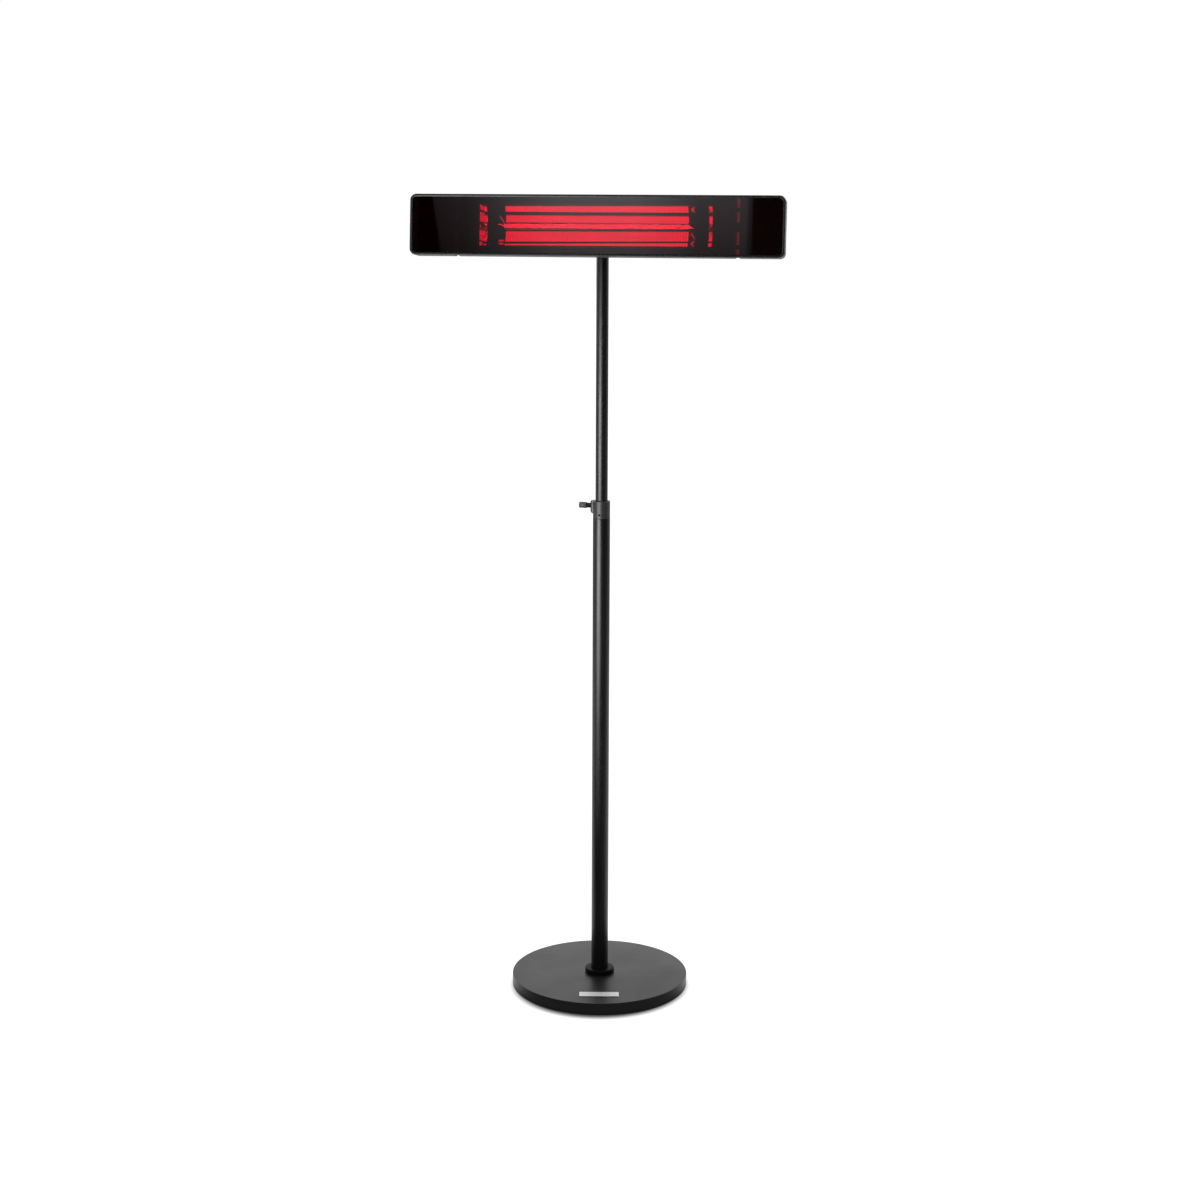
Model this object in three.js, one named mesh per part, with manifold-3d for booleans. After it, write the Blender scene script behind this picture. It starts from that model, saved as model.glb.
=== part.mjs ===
// Infrared patio heater on a telescopic pole with a round weighted base.
// Millimetres, +Z up, the head's length along X, its glass facing -Y.
// The origin is the centre of the base on the floor.

import * as THREE from 'three';
import { mergeVertices } from 'three/addons/utils/BufferGeometryUtils.js';
import Module from 'manifold-3d';

const wasm = await Module();
wasm.setup();

// ---------------------------------------------------------------- driving dimensions

// Clearances
const SEAT = 0.3; // between pieces that rest on, or are fixed in, each other
const RUN = 0.3; // radial, between pieces that turn or slide in each other

// Base
const BASE_DIAMETER = 470;
const BASE_HEIGHT = 32;
const COVER_WALL = 1.5;
const COVER_EDGE_RADIUS = 3;
const COVER_LIFT = 1.5; // floor to the skirt's lower edge
const MAT_THICKNESS = 3;
const BALLAST_CLEARANCE = 1.5; // radial, inside the cover's skirt
const BALLAST_WEB = 12;
const BALLAST_RIM = 22;
const BALLAST_HUB_RADIUS = 50;
const BALLAST_SLOPE = 4; // run of the sloped sides of hub and rim
const PLATE_LENGTH = 104;
const PLATE_WIDTH = 30;
const PLATE_THICKNESS = 1;
const PLATE_CORNER = 2;
const PLATE_INSET = 64; // base's rim to the plate's centre
const PLATE_TURN = 8.7; // degrees about the pole

// Bolt that holds the pole to the base
const POLE_BOLT_DIAMETER = 12;
const POLE_BOLT_LENGTH = 45;
const POLE_BOLT_HEAD = 7.5;
const POLE_BOLT_HEX = 19; // across flats
const POLE_WASHER_RADIUS = 15;
const POLE_WASHER_THICKNESS = 2.5;
const BOLT_POCKET_RADIUS = 17;
const BOLT_HOLE_CLEARANCE = 0.5;

// Outer tube and its flange
const TUBE_DIAMETER = 45;
const TUBE_WALL = 1.5;
const TUBE_LENGTH = 1242;
const PLUG_LENGTH = 40;
const FLANGE_RADIUS = 39;
const FLANGE_HEIGHT = 12;
const FLANGE_EDGE = 3;

// Clamp collar
const COLLAR_HEAD = 46; // above the tube's rim
const COLLAR_SPIGOT = 40; // inside the tube
const COLLAR_CHAMFER = 1.2;
const COLLAR_TURN = -8.5; // degrees about the pole
const BOSS_REACH = 28.8; // pole axis to the boss's face
const BOSS_WIDTH = 22;
const BOSS_RISE = 12.5; // tube's rim to the boss's lower end
const BOSS_LOWER_RADIUS = 10;
const BOSS_CORNER = 2;
const BOSS_SIDE_RADIUS = 7;
const CLAMP_HEIGHT = 32.5; // clamp axis above the tube's rim
const BUSH_WALL = 1.8;
const BUSH_RISE = 16; // above the tube's rim
const GRUB_DIAMETER = 5;
const GRUB_RISE = 10.5; // above the tube's rim
const GRUB_SOCKET = 1.3; // radius of its socket
const GRUB_SOCKET_DEPTH = 1.6;

// Clamp knob
const STUD_DIAMETER = 8;
const STUD_IN_KNOB = 23;
const PAD_THICKNESS = 3;
const KNOB_NECK_DIAMETER = 12.8;
const KNOB_NECK_LENGTH = 12;
const KNOB_HEAD_DIAMETER = 16;
const KNOB_HEAD_LENGTH = 19;
const KNOB_CHAMFER = 1;
const KNOB_FLUTES = 8;
const KNOB_FLUTE_RADIUS = 1.5;

// Mast
const MAST_DIAMETER = 32;
const MAST_WALL = 1.5;
const MAST_LENGTH = 1030;
const MAST_INSERTION = 340; // inside the outer tube at rest
const MAST_PLUG_LENGTH = 30;
const GLIDE_FLOOR = 7;
const GLIDE_WALL_HEIGHT = 25;
const GLIDE_SCREW_DIAMETER = 6;
const GLIDE_SCREW_LENGTH = 27;
const GLIDE_SCREW_HEAD_RADIUS = 6;
const GLIDE_SCREW_HEAD = 4;

// Mast head and pivot
const PIVOT_REACH = 38; // mast axis to the pivot, towards the head
const PIVOT_RISE = 24; // mast rim to the pivot
const EAR_RADIUS = 12;
const EAR_THICKNESS = 6;
const TONGUE_WIDTH = 27.8;
const CROTCH_CLEARANCE = 2; // tongue's end to the bottom of the fork
const HEAD_BLOCK_HEIGHT = 18;
const HEAD_BLOCK_FLARE = 4; // at the crook under the ears
const SPIGOT_LENGTH = 45;
const PIVOT_BOLT_DIAMETER = 8;
const PIVOT_BOLT_HEX = 13;
const PIVOT_BOLT_HEAD = 5.3;
const PIVOT_WASHER_RADIUS = 9;
const PIVOT_WASHER_THICKNESS = 1.6;
const PIVOT_KNOB_RADIUS = 15;
const PIVOT_KNOB_HUB = 8; // radius
const PIVOT_KNOB_HUB_LENGTH = 6;
const PIVOT_KNOB_GRIP = 14;
const PIVOT_KNOB_LOBES = 6;
const PIVOT_KNOB_SCALLOP = 5;
const PIVOT_BOLT_IN_KNOB = 12;
const HEAD_SCREW_DIAMETER = 5;
const HEAD_SCREW_DROP = 22; // below the mast's rim
const HEAD_SCREW_LENGTH = 12;
const HEAD_SCREW_HEAD_RADIUS = 4.5;
const HEAD_SCREW_HEAD = 2.8;

// Heater head
const HEAD_LENGTH = 952;
const HEAD_HEIGHT = 154;
const HEAD_CORNER = 16;
const HEAD_TILT = 6; // degrees, leaning back at rest
const HEAD_RISE = 37; // pivot to the head's middle
const BEZEL_FACE = 6.5;
const BEZEL_LIP = 1.5;
const BEZEL_WALL = 1.5;
const BEZEL_EDGE = 1.2; // rounding of its front edge
const GLASS_THICKNESS = 4;
const GASKET_THICKNESS = 1.8;
const GASKET_WIDTH = 7;
const HOUSING_DEPTH = 50;
const HOUSING_WALL = 2;
const HOUSING_LIP = 7;
const HOUSING_BACK_RADIUS = 16;
const FIN_COUNT = 7;
const FIN_PITCH = 8.5;
const FIN_HEIGHT = 4;
const FIN_WIDTH = 2.6;
const CAP_LENGTH = 113.5;
const GAP_WIDTH = 11; // between each end cap and the centre housing
const CAP_WALL = 2.5;
const END_PLATE_THICKNESS = 2;
const DUCT_HEIGHT = 24;
const DUCT_DEPTH = 12;
const DUCT_WALL = 1.5;
const DUCT_OVERLAP = 3; // past the walls on both sides of a gap
const DUCT_Y = 31; // behind the bezel's face

// Mounting tracks on the back
const TRACK_INSET = 30.5; // head's upper and lower edges to the tracks' middles
const TRACK_HEIGHT = 11;
const TRACK_DEPTH = 8;
const TRACK_WALL = 1.5;
const TRACK_SLOT = 5.6;
const TRACK_MARGIN = 21; // tracks' ends to the head's ends

// Tilt bracket
const BRACKET_WIDTH = 120;
const BRACKET_THICKNESS = 4;
const BRACKET_MARGIN = 8; // past the tracks' middle lines
const BRACKET_CORNER = 10;
const LUG_REACH = 20; // bracket's back to the pivot
const LUG_ROOT = 17; // half height of the lug at the plate
const BRACKET_BOLT_DIAMETER = 5;
const BRACKET_BOLT_SPACING = 90;
const BRACKET_BOLT_HEAD = 3.5;
const BRACKET_BOLT_HEAD_RADIUS = 5;
const SLOT_NUT_LENGTH = 108;
const SLOT_NUT_THICKNESS = 3;

// Reflector, heat shield and lamp
const REFLECTOR_MARGIN = 54.5; // its ends to the centre housing's
const REFLECTOR_RIM = 15; // flat rim between the housing's lip and the trough
const REFLECTOR_DEPTH = 36;
const REFLECTOR_SHEET = 1;
const REFLECTOR_FACETS = 5; // on each side of the ridge
const REFLECTOR_RIDGE = 5;
const FLANGE_OVERLAP = 3; // sheet flanges past the housing's lips
const FLARE = 9; // degrees, of the reflector's end plates
const SHIELD_SHEET = 0.8;
const SHIELD_MARGIN = 19.5; // its ends to the centre housing's
const SHIELD_SPACE = 4; // behind the reflector
const SHIELD_FLAT = 5; // of its flange past the reflector's opening
const SHIELD_SHOULDER = 0.6; // of the reflector's depth
const SHIELD_TAPER = 2; // from the opening to the shoulder
const LAMP_Y = 28.5; // behind the bezel's face
const LAMP_MARGIN = 31.5; // its ends to the centre housing's
const LAMP_COLD_END = 83; // without curls
const LAMP_WALL = 1.5;
const LAMP_CLEARANCE = 1; // radial, in the reflector's ends
const FILAMENT_RADIUS = 5;
const FILAMENT_PITCH = 8.5;
const FILAMENT_WIRE = 0.7; // radius
const LAMP_BASE_RADIUS = 9.5;
const LAMP_BASE_LENGTH = 34;
const LAMP_BASE_SOCKET = 20;
const HOLDER_THICKNESS = 8;
const HOLDER_WIDTH = 20;
const HOLDER_RING = 3;
const HOLDER_OFFSET = 12; // from the lamp base's inner end

// Wiring
const WIRE_RADIUS = 1.8;
const WIRE_SPACING = 9;
const WIRE_ENTRY = 6; // depth of its holes in the lamp bases and the block
const WIRE_CORNER = 9; // housing's walls to the long lead's middle line
const BLOCK_LENGTH = 30;
const BLOCK_DEPTH = 15;
const BLOCK_HEIGHT = 24;
const BLOCK_SPACE = 24; // duct's end to the block
const GLAND_INSET = 36; // from the head's right-hand end
const GLAND_THREAD = 19.4; // diameter
const GLAND_BORE = 12.6; // diameter
const GLAND_HEX = 24;
const GLAND_HEX_LENGTH = 6;
const GLAND_NECK = 18; // diameter
const GLAND_NECK_LENGTH = 9;
const GLAND_NUT_HEX = 22;
const GLAND_NUT_LENGTH = 15;
const GLAND_DOME_INSET = 1.5;
const GLAND_INSIDE = 6;

// Facets round a circle
const DISC_SIDES = 56; // base cover
const BROAD_SIDES = 40; // ballast, mat and pole flange
const TUBE_SIDES = 32; // pole, collar, bushes and flange
const ROUND_SIDES = 24; // lamp, knobs and washers
const BOLT_SIDES = 16;
const SCREW_SIDES = 12;

// ---------------------------------------------------------------- worked-out sizes

const baseRadius = BASE_DIAMETER / 2;
const ballastRadius = baseRadius - COVER_WALL - BALLAST_CLEARANCE;
const ballastBottom = MAT_THICKNESS + SEAT;
const coverUnderside = BASE_HEIGHT - COVER_WALL;
const boltHoleRadius = POLE_BOLT_DIAMETER / 2 + BOLT_HOLE_CLEARANCE;
const boltPocketTop = ballastBottom + POLE_BOLT_HEAD + POLE_WASHER_THICKNESS + 3 * SEAT;

const tubeRadius = TUBE_DIAMETER / 2;
const tubeBore = tubeRadius - TUBE_WALL;
const tubeBottom = BASE_HEIGHT + SEAT;
const tubeTop = tubeBottom + TUBE_LENGTH;
const mastRadius = MAST_DIAMETER / 2;
const mastBore = mastRadius - MAST_WALL;
const mastBottom = tubeTop - MAST_INSERTION;
const bushBore = mastRadius + RUN;
const bushRadius = bushBore + BUSH_WALL;
const forkWidth = TONGUE_WIDTH + 2 * (SEAT + EAR_THICKNESS);

const glassFront = BEZEL_LIP + SEAT;
const glassBack = glassFront + GLASS_THICKNESS;
const gasketFront = glassBack + SEAT;
const gasketBack = gasketFront + GASKET_THICKNESS;
const housingFront = gasketBack + SEAT;
const housingBack = housingFront + HOUSING_DEPTH;
const trackFront = housingBack + SEAT;
const trackBack = trackFront + TRACK_DEPTH;
const bracketFront = trackBack + SEAT;
const bracketBack = bracketFront + BRACKET_THICKNESS;
const pivotDepth = bracketBack + LUG_REACH;
const gapOuter = HEAD_LENGTH / 2 - CAP_LENGTH;
const gapInner = gapOuter - GAP_WIDTH;
const trackZ = HEAD_HEIGHT / 2 - TRACK_INSET;
const trackHalf = HEAD_LENGTH / 2 - TRACK_MARGIN;
const openingHalf = HEAD_HEIGHT / 2 - HOUSING_LIP - REFLECTOR_RIM;
const reflectorHalf = gapInner - REFLECTOR_MARGIN;
const shieldHalf = gapInner - SHIELD_MARGIN;
const lampHalf = gapInner - LAMP_MARGIN;
const filamentHalf = lampHalf - LAMP_COLD_END;
const glandX = HEAD_LENGTH / 2 - GLAND_INSET;
const lampRadius = FILAMENT_RADIUS + FILAMENT_WIRE + SEAT + LAMP_WALL;
const flangeFront = housingFront + HOUSING_WALL + SEAT;
const shieldFront = flangeFront + REFLECTOR_SHEET + SEAT;
const flangeHalf = HEAD_HEIGHT / 2 - HOUSING_LIP + FLANGE_OVERLAP;
const reflectorBack = flangeFront + REFLECTOR_SHEET + REFLECTOR_DEPTH;
const shieldBack = reflectorBack + SHIELD_SPACE;
const lampBaseInner = lampHalf + SEAT - LAMP_BASE_SOCKET;
const lampBaseOuter = lampBaseInner + LAMP_BASE_LENGTH;
const ductEnd = gapOuter + CAP_WALL + DUCT_OVERLAP;
const blockStart = ductEnd + BLOCK_SPACE;
const blockBack = housingBack - CAP_WALL - SEAT;
const blockY = blockBack - BLOCK_DEPTH / 2;
const wireStart = lampBaseOuter - WIRE_ENTRY + 2 * SEAT;

// ---------------------------------------------------------------- solids from three.js shapes

const AXIS = {
  x: new THREE.Vector3(1, 0, 0),
  y: new THREE.Vector3(0, 1, 0),
  z: new THREE.Vector3(0, 0, 1),
};

const radians = THREE.MathUtils.degToRad;

/** Six times the volume that the triangles enclose, negative if they face in. */
function signedVolume(position, index) {
  const [a, b, c] = [0, 1, 2].map(() => new THREE.Vector3());
  let volume = 0;
  for (let i = 0; i < index.length; i += 3) {
    a.fromBufferAttribute(position, index[i]);
    b.fromBufferAttribute(position, index[i + 1]);
    c.fromBufferAttribute(position, index[i + 2]);
    volume += a.dot(b.cross(c));
  }
  return volume;
}

/** A closed geometry as a solid: vertices shared, flat triangles dropped, faces out. */
function solid(geometry) {
  const bare = geometry.clone();
  bare.deleteAttribute('normal');
  bare.deleteAttribute('uv');
  const merged = mergeVertices(bare, 1e-4);
  const source = merged.index.array;
  const triangles = [];
  for (let i = 0; i < source.length; i += 3) {
    const [a, b, c] = [source[i], source[i + 1], source[i + 2]];
    if (a !== b && b !== c && c !== a) triangles.push(a, b, c);
  }
  if (signedVolume(merged.attributes.position, triangles) < 0) triangles.reverse();
  const vertProperties = new Float32Array(merged.attributes.position.array);
  const triVerts = new Uint32Array(triangles);
  return new wasm.Manifold(new wasm.Mesh({ numProp: 3, vertProperties, triVerts }));
}

/** The solid's triangles as a three.js geometry. */
function geometryOf(body) {
  const { vertProperties, triVerts } = body.getMesh();
  const geometry = new THREE.BufferGeometry();
  geometry.setAttribute('position', new THREE.BufferAttribute(vertProperties, 3));
  geometry.setIndex(new THREE.BufferAttribute(triVerts, 1));
  return geometry;
}

/** The same solid moved, turned or mirrored by a matrix. */
function transformed(body, matrix) {
  return solid(geometryOf(body).applyMatrix4(matrix));
}

function moved(body, x, y, z) {
  return transformed(body, new THREE.Matrix4().makeTranslation(x, y, z));
}

function mirrored(body) {
  return transformed(body, new THREE.Matrix4().makeScale(-1, 1, 1));
}

function union(...bodies) {
  return bodies.reduce((all, body) => all.add(body));
}

function cut(body, ...tools) {
  return tools.reduce((rest, tool) => rest.subtract(tool), body);
}

/** Extrudes a drawing made in two axes, such as 'yz', along the third one. */
function extrude(shape, plane, from, to, curveSegments = 4) {
  const right = AXIS[plane[0]];
  const up = AXIS[plane[1]];
  const out = new THREE.Vector3().crossVectors(right, up);
  const forward = out.x + out.y + out.z > 0;
  const geometry = new THREE.ExtrudeGeometry(shape, {
    depth: to - from,
    bevelEnabled: false,
    curveSegments,
  });
  geometry.translate(0, 0, forward ? from : -to);
  geometry.applyMatrix4(new THREE.Matrix4().makeBasis(right, up, out));
  return solid(geometry);
}

/** Turns a geometry made round the Y axis to stand round another axis. */
function aim(geometry, axis) {
  if (axis === 'z') geometry.rotateX(Math.PI / 2);
  if (axis === 'x') geometry.rotateZ(-Math.PI / 2);
  return geometry;
}

/** Revolves a closed outline of [radius, height] points round an axis. */
function revolve(outline, segments, axis = 'z') {
  const points = [...outline, outline[0]].map(([r, h]) => new THREE.Vector2(r, h));
  return solid(aim(new THREE.LatheGeometry(points, segments), axis));
}

/** A round bar along an axis. */
function rod(radius, axis, from, to, segments = BOLT_SIDES) {
  const geometry = new THREE.CylinderGeometry(radius, radius, to - from, segments);
  aim(geometry, axis);
  const middle = AXIS[axis].clone().multiplyScalar((from + to) / 2);
  return solid(geometry.translate(middle.x, middle.y, middle.z));
}

/** A round tube along an axis. */
function pipe(outer, inner, from, to, segments, axis = 'z') {
  return revolve([[inner, from], [outer, from], [outer, to], [inner, to]], segments, axis);
}

/** A hexagonal bar, by its width across flats. */
function hexBar(acrossFlats, axis, from, to) {
  return rod(acrossFlats / Math.sqrt(3), axis, from, to, 6);
}

function box(x, y, z) {
  const geometry = new THREE.BoxGeometry(x[1] - x[0], y[1] - y[0], z[1] - z[0]);
  geometry.translate((x[0] + x[1]) / 2, (y[0] + y[1]) / 2, (z[0] + z[1]) / 2);
  return solid(geometry);
}

function roundedRectangle(width, height, radius) {
  const x = width / 2 - radius;
  const y = height / 2 - radius;
  const shape = new THREE.Shape();
  shape.absarc(x, y, radius, 0, Math.PI / 2);
  shape.absarc(-x, y, radius, Math.PI / 2, Math.PI);
  shape.absarc(-x, -y, radius, Math.PI, Math.PI * 1.5);
  shape.absarc(x, -y, radius, Math.PI * 1.5, Math.PI * 2);
  shape.closePath();
  return shape;
}

/** [radius, height] points of a quarter round from one angle to another, in degrees. */
function arc(centreX, centreY, radius, from, to, steps = 4) {
  return Array.from({ length: steps + 1 }, (_, i) => {
    const angle = radians(from + ((to - from) * i) / steps);
    return [centreX + radius * Math.cos(angle), centreY + radius * Math.sin(angle)];
  });
}

function shapeOf(points) {
  return new THREE.Shape(points.map(([x, y]) => new THREE.Vector2(x, y)));
}

/** The outline of a bent sheet: a line of points and its parallel on the right-hand side. */
function sheetOutline(points, thickness) {
  const line = points.map(([x, y]) => new THREE.Vector2(x, y));
  const normal = (a, b) => {
    const d = b.clone().sub(a).normalize();
    return new THREE.Vector2(d.y, -d.x);
  };
  const parallel = line.map((point, i) => {
    const before = normal(line[Math.max(i - 1, 0)], line[Math.max(i, 1)]);
    const after = normal(line[Math.min(i, line.length - 2)], line[Math.min(i + 1, line.length - 1)]);
    const mitre = before.clone().add(after).normalize();
    return point.clone().addScaledVector(mitre, thickness / mitre.dot(before));
  });
  return new THREE.Shape([...line, ...parallel.reverse()]);
}

/** A round wire swept through points, closed by a fan at both ends. */
function sweep(points, radius, sides) {
  const vertices = [];
  const triangles = [];
  const side = new THREE.Vector3(0, 0, 1);
  points.forEach((point, i) => {
    const before = points[Math.max(i - 1, 0)];
    const after = points[Math.min(i + 1, points.length - 1)];
    const along = after.clone().sub(before).normalize();
    side.addScaledVector(along, -side.dot(along)).normalize();
    const up = new THREE.Vector3().crossVectors(along, side);
    for (let s = 0; s < sides; s += 1) {
      const angle = (s / sides) * Math.PI * 2;
      const corner = point.clone();
      corner.addScaledVector(side, radius * Math.cos(angle));
      corner.addScaledVector(up, radius * Math.sin(angle));
      vertices.push(corner.x, corner.y, corner.z);
    }
  });
  const at = (ring, s) => ring * sides + (s % sides);
  for (let ring = 0; ring < points.length - 1; ring += 1) {
    for (let s = 0; s < sides; s += 1) {
      triangles.push(at(ring, s), at(ring, s + 1), at(ring + 1, s + 1));
      triangles.push(at(ring, s), at(ring + 1, s + 1), at(ring + 1, s));
    }
  }
  const last = points.length - 1;
  for (let s = 1; s < sides - 1; s += 1) {
    triangles.push(at(0, 0), at(0, s + 1), at(0, s));
    triangles.push(at(last, 0), at(last, s), at(last, s + 1));
  }
  const geometry = new THREE.BufferGeometry();
  geometry.setAttribute('position', new THREE.Float32BufferAttribute(vertices, 3));
  geometry.setIndex(triangles);
  return solid(geometry);
}

/** A lead wire along a smooth curve through hand-set points, close ones where it bends. */
function leadWire(points) {
  const path = new THREE.CatmullRomCurve3(points.map((p) => new THREE.Vector3(...p)));
  return sweep(path.getPoints((points.length - 1) * 3), WIRE_RADIUS, 8);
}

// ---------------------------------------------------------------- materials and scene graph

function finish(color, roughness, metalness) {
  return new THREE.MeshStandardMaterial({ color, roughness, metalness, flatShading: true });
}

const blackPowderCoat = finish(0x1c1c1e, 0.5, 0.1);
const collarGrey = finish(0x4a4a4c, 0.45, 0.3);
const blackPlastic = finish(0x161616, 0.6, 0);
const knobPlastic = finish(0x3a3a3a, 0.6, 0);
const whiteNylon = finish(0xd8d6cf, 0.6, 0);
const rubber = finish(0x121212, 0.9, 0);
const castIron = finish(0x3b3b3d, 0.8, 0.6);
const steel = finish(0xb4b6b8, 0.35, 0.9);
const platedMetal = finish(0xc9c9c9, 0.3, 0.9);
const blackAluminium = finish(0x202022, 0.45, 0.4);
const brightAluminium = finish(0xe2e3e5, 0.15, 1);
const darkGlass = finish(0x0a0607, 0.05, 0);
const quartz = finish(0xf3e3df, 0.05, 0);
const glowing = finish(0xff3a24, 0.6, 0);
const ceramic = finish(0xe9e4d8, 0.7, 0);
const siliconeWire = finish(0x8c1f1a, 0.6, 0);
const fibre = finish(0xc8c4ba, 0.95, 0);

/** Adds a named mesh to a group, optionally placed and turned about Z. */
function place(group, name, body, material, position = [0, 0, 0], turn = 0) {
  const mesh = new THREE.Mesh(geometryOf(body), material);
  mesh.name = name;
  mesh.position.set(...position);
  mesh.rotation.z = radians(turn);
  group.add(mesh);
}

const heater = new THREE.Group();

// ---------------------------------------------------------------- base

function footMat() {
  return pipe(ballastRadius, BOLT_POCKET_RADIUS, 0, MAT_THICKNESS, BROAD_SIDES);
}

/** Cast disc with a raised rim and hub that carry the cover, pocketed for the bolt's head. */
function ballastDisc() {
  const top = coverUnderside - SEAT;
  const web = ballastBottom + BALLAST_WEB;
  const rim = ballastRadius - BALLAST_RIM;
  return revolve([
    [boltHoleRadius, boltPocketTop],
    [BOLT_POCKET_RADIUS, boltPocketTop],
    [BOLT_POCKET_RADIUS, ballastBottom],
    [ballastRadius, ballastBottom],
    [ballastRadius, top],
    [rim, top],
    [rim - BALLAST_SLOPE, web],
    [BALLAST_HUB_RADIUS + BALLAST_SLOPE, web],
    [BALLAST_HUB_RADIUS, top],
    [boltHoleRadius, top],
  ], BROAD_SIDES);
}

/** Spun steel shell: flat top, rolled edge and a short skirt. */
function baseCover() {
  const edgeX = baseRadius - COVER_EDGE_RADIUS;
  const edgeY = BASE_HEIGHT - COVER_EDGE_RADIUS;
  return revolve([
    [boltHoleRadius, coverUnderside],
    ...arc(edgeX, edgeY, COVER_EDGE_RADIUS - COVER_WALL, 90, 0, 2),
    [baseRadius - COVER_WALL, COVER_LIFT],
    [baseRadius, COVER_LIFT],
    ...arc(edgeX, edgeY, COVER_EDGE_RADIUS, 0, 90, 3),
    [boltHoleRadius, BASE_HEIGHT],
  ], DISC_SIDES);
}

function barePlate() {
  const outline = roundedRectangle(PLATE_LENGTH, PLATE_WIDTH, PLATE_CORNER);
  return extrude(outline, 'xy', 0, PLATE_THICKNESS, 3);
}

function poleFlange() {
  const bore = tubeRadius + SEAT;
  return revolve([
    [bore, 0],
    [FLANGE_RADIUS, 0],
    ...arc(FLANGE_RADIUS - FLANGE_EDGE, FLANGE_HEIGHT - FLANGE_EDGE, FLANGE_EDGE, 0, 90, 2),
    [bore, FLANGE_HEIGHT],
  ], BROAD_SIDES);
}

function poleBolt(top) {
  const head = hexBar(POLE_BOLT_HEX, 'z', top - POLE_BOLT_HEAD, top);
  return union(head, rod(POLE_BOLT_DIAMETER / 2, 'z', top - 1, top + POLE_BOLT_LENGTH));
}

const base = new THREE.Group();
heater.add(base);
const washerTop = boltPocketTop - SEAT;
const washerBottom = washerTop - POLE_WASHER_THICKNESS;
const plateTurn = radians(PLATE_TURN);
const plateX = Math.sin(plateTurn) * (baseRadius - PLATE_INSET);
const plateY = -Math.cos(plateTurn) * (baseRadius - PLATE_INSET);
place(base, 'foot_mat', footMat(), rubber);
place(base, 'ballast_disc', ballastDisc(), castIron);
place(base, 'base_cover', baseCover(), blackPowderCoat);
place(base, 'bare_plate', barePlate(), platedMetal, [plateX, plateY, BASE_HEIGHT + SEAT], PLATE_TURN);
place(base, 'pole_flange', poleFlange(), blackPowderCoat, [0, 0, BASE_HEIGHT + SEAT]);
const poleWasher = pipe(POLE_WASHER_RADIUS, boltHoleRadius, washerBottom, washerTop, ROUND_SIDES);
place(base, 'pole_washer', poleWasher, steel);
place(base, 'pole_bolt', poleBolt(washerBottom - SEAT), steel);

// ---------------------------------------------------------------- outer tube and clamp collar

// The pole's pieces are drawn from the outer tube's top rim.
const pole = new THREE.Group();
pole.position.z = tubeTop;
pole.rotation.z = radians(COLLAR_TURN);
heater.add(pole);

function grubHole(radius, from, to) {
  return moved(rod(radius, 'y', -to, -from, SCREW_SIDES), 0, 0, GRUB_RISE);
}

function outerTube() {
  return pipe(tubeRadius, tubeBore, -TUBE_LENGTH, 0, TUBE_SIDES);
}

function polePlug() {
  const threads = POLE_BOLT_DIAMETER / 2 + SEAT;
  return pipe(tubeBore - SEAT, threads, -TUBE_LENGTH, PLUG_LENGTH - TUBE_LENGTH, ROUND_SIDES);
}

/** Sleeve in the collar that guides the mast, held by the grub screw. */
function guideBush() {
  return pipe(bushRadius, bushBore, -COLLAR_SPIGOT, BUSH_RISE, TUBE_SIDES);
}

/** The boss that takes the clamp stud, its lower end faired into the collar. */
function collarBoss() {
  const side = new THREE.Shape();
  side.moveTo(0, BOSS_RISE);
  side.lineTo(BOSS_LOWER_RADIUS - BOSS_REACH, BOSS_RISE);
  side.absarc(BOSS_LOWER_RADIUS - BOSS_REACH, BOSS_RISE + BOSS_LOWER_RADIUS, BOSS_LOWER_RADIUS,
    -Math.PI / 2, -Math.PI, true);
  side.absarc(BOSS_CORNER - BOSS_REACH, COLLAR_HEAD - BOSS_CORNER, BOSS_CORNER,
    Math.PI, Math.PI / 2, true);
  side.lineTo(0, COLLAR_HEAD);
  const plan = new THREE.Shape();
  const half = BOSS_WIDTH / 2;
  plan.moveTo(0, -half);
  plan.lineTo(0, half);
  plan.absarc(BOSS_SIDE_RADIUS - BOSS_REACH, half - BOSS_SIDE_RADIUS, BOSS_SIDE_RADIUS,
    Math.PI / 2, Math.PI);
  plan.absarc(BOSS_SIDE_RADIUS - BOSS_REACH, BOSS_SIDE_RADIUS - half, BOSS_SIDE_RADIUS,
    Math.PI, Math.PI * 1.5);
  return extrude(side, 'xz', -half, half).intersect(extrude(plan, 'xy', BOSS_RISE, COLLAR_HEAD));
}

/** Cast end fitting of the tube: flush with it above its rim, with a spigot inside it. */
function clampCollar() {
  const spigot = tubeBore - SEAT;
  const body = revolve([
    [0, -COLLAR_SPIGOT],
    [spigot, -COLLAR_SPIGOT],
    [spigot, SEAT],
    [tubeRadius, SEAT],
    [tubeRadius, COLLAR_HEAD - COLLAR_CHAMFER],
    [tubeRadius - COLLAR_CHAMFER, COLLAR_HEAD],
    [0, COLLAR_HEAD],
  ], TUBE_SIDES);
  const studHole = rod(STUD_DIAMETER / 2 + SEAT, 'x', -BOSS_REACH - 1, 0);
  return cut(
    union(body, collarBoss()),
    rod(bushRadius + SEAT, 'z', -COLLAR_SPIGOT - 1, BUSH_RISE + SEAT, TUBE_SIDES),
    rod(bushBore, 'z', 0, COLLAR_HEAD + 1, TUBE_SIDES),
    moved(studHole, 0, 0, CLAMP_HEIGHT),
    grubHole(GRUB_DIAMETER / 2 + SEAT, bushRadius, tubeRadius + 1),
  );
}

function collarScrew() {
  const outer = tubeRadius - SEAT;
  const socket = grubHole(GRUB_SOCKET, outer - GRUB_SOCKET_DEPTH, outer + 1);
  return cut(grubHole(GRUB_DIAMETER / 2, bushRadius + SEAT, outer), socket);
}

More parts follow.
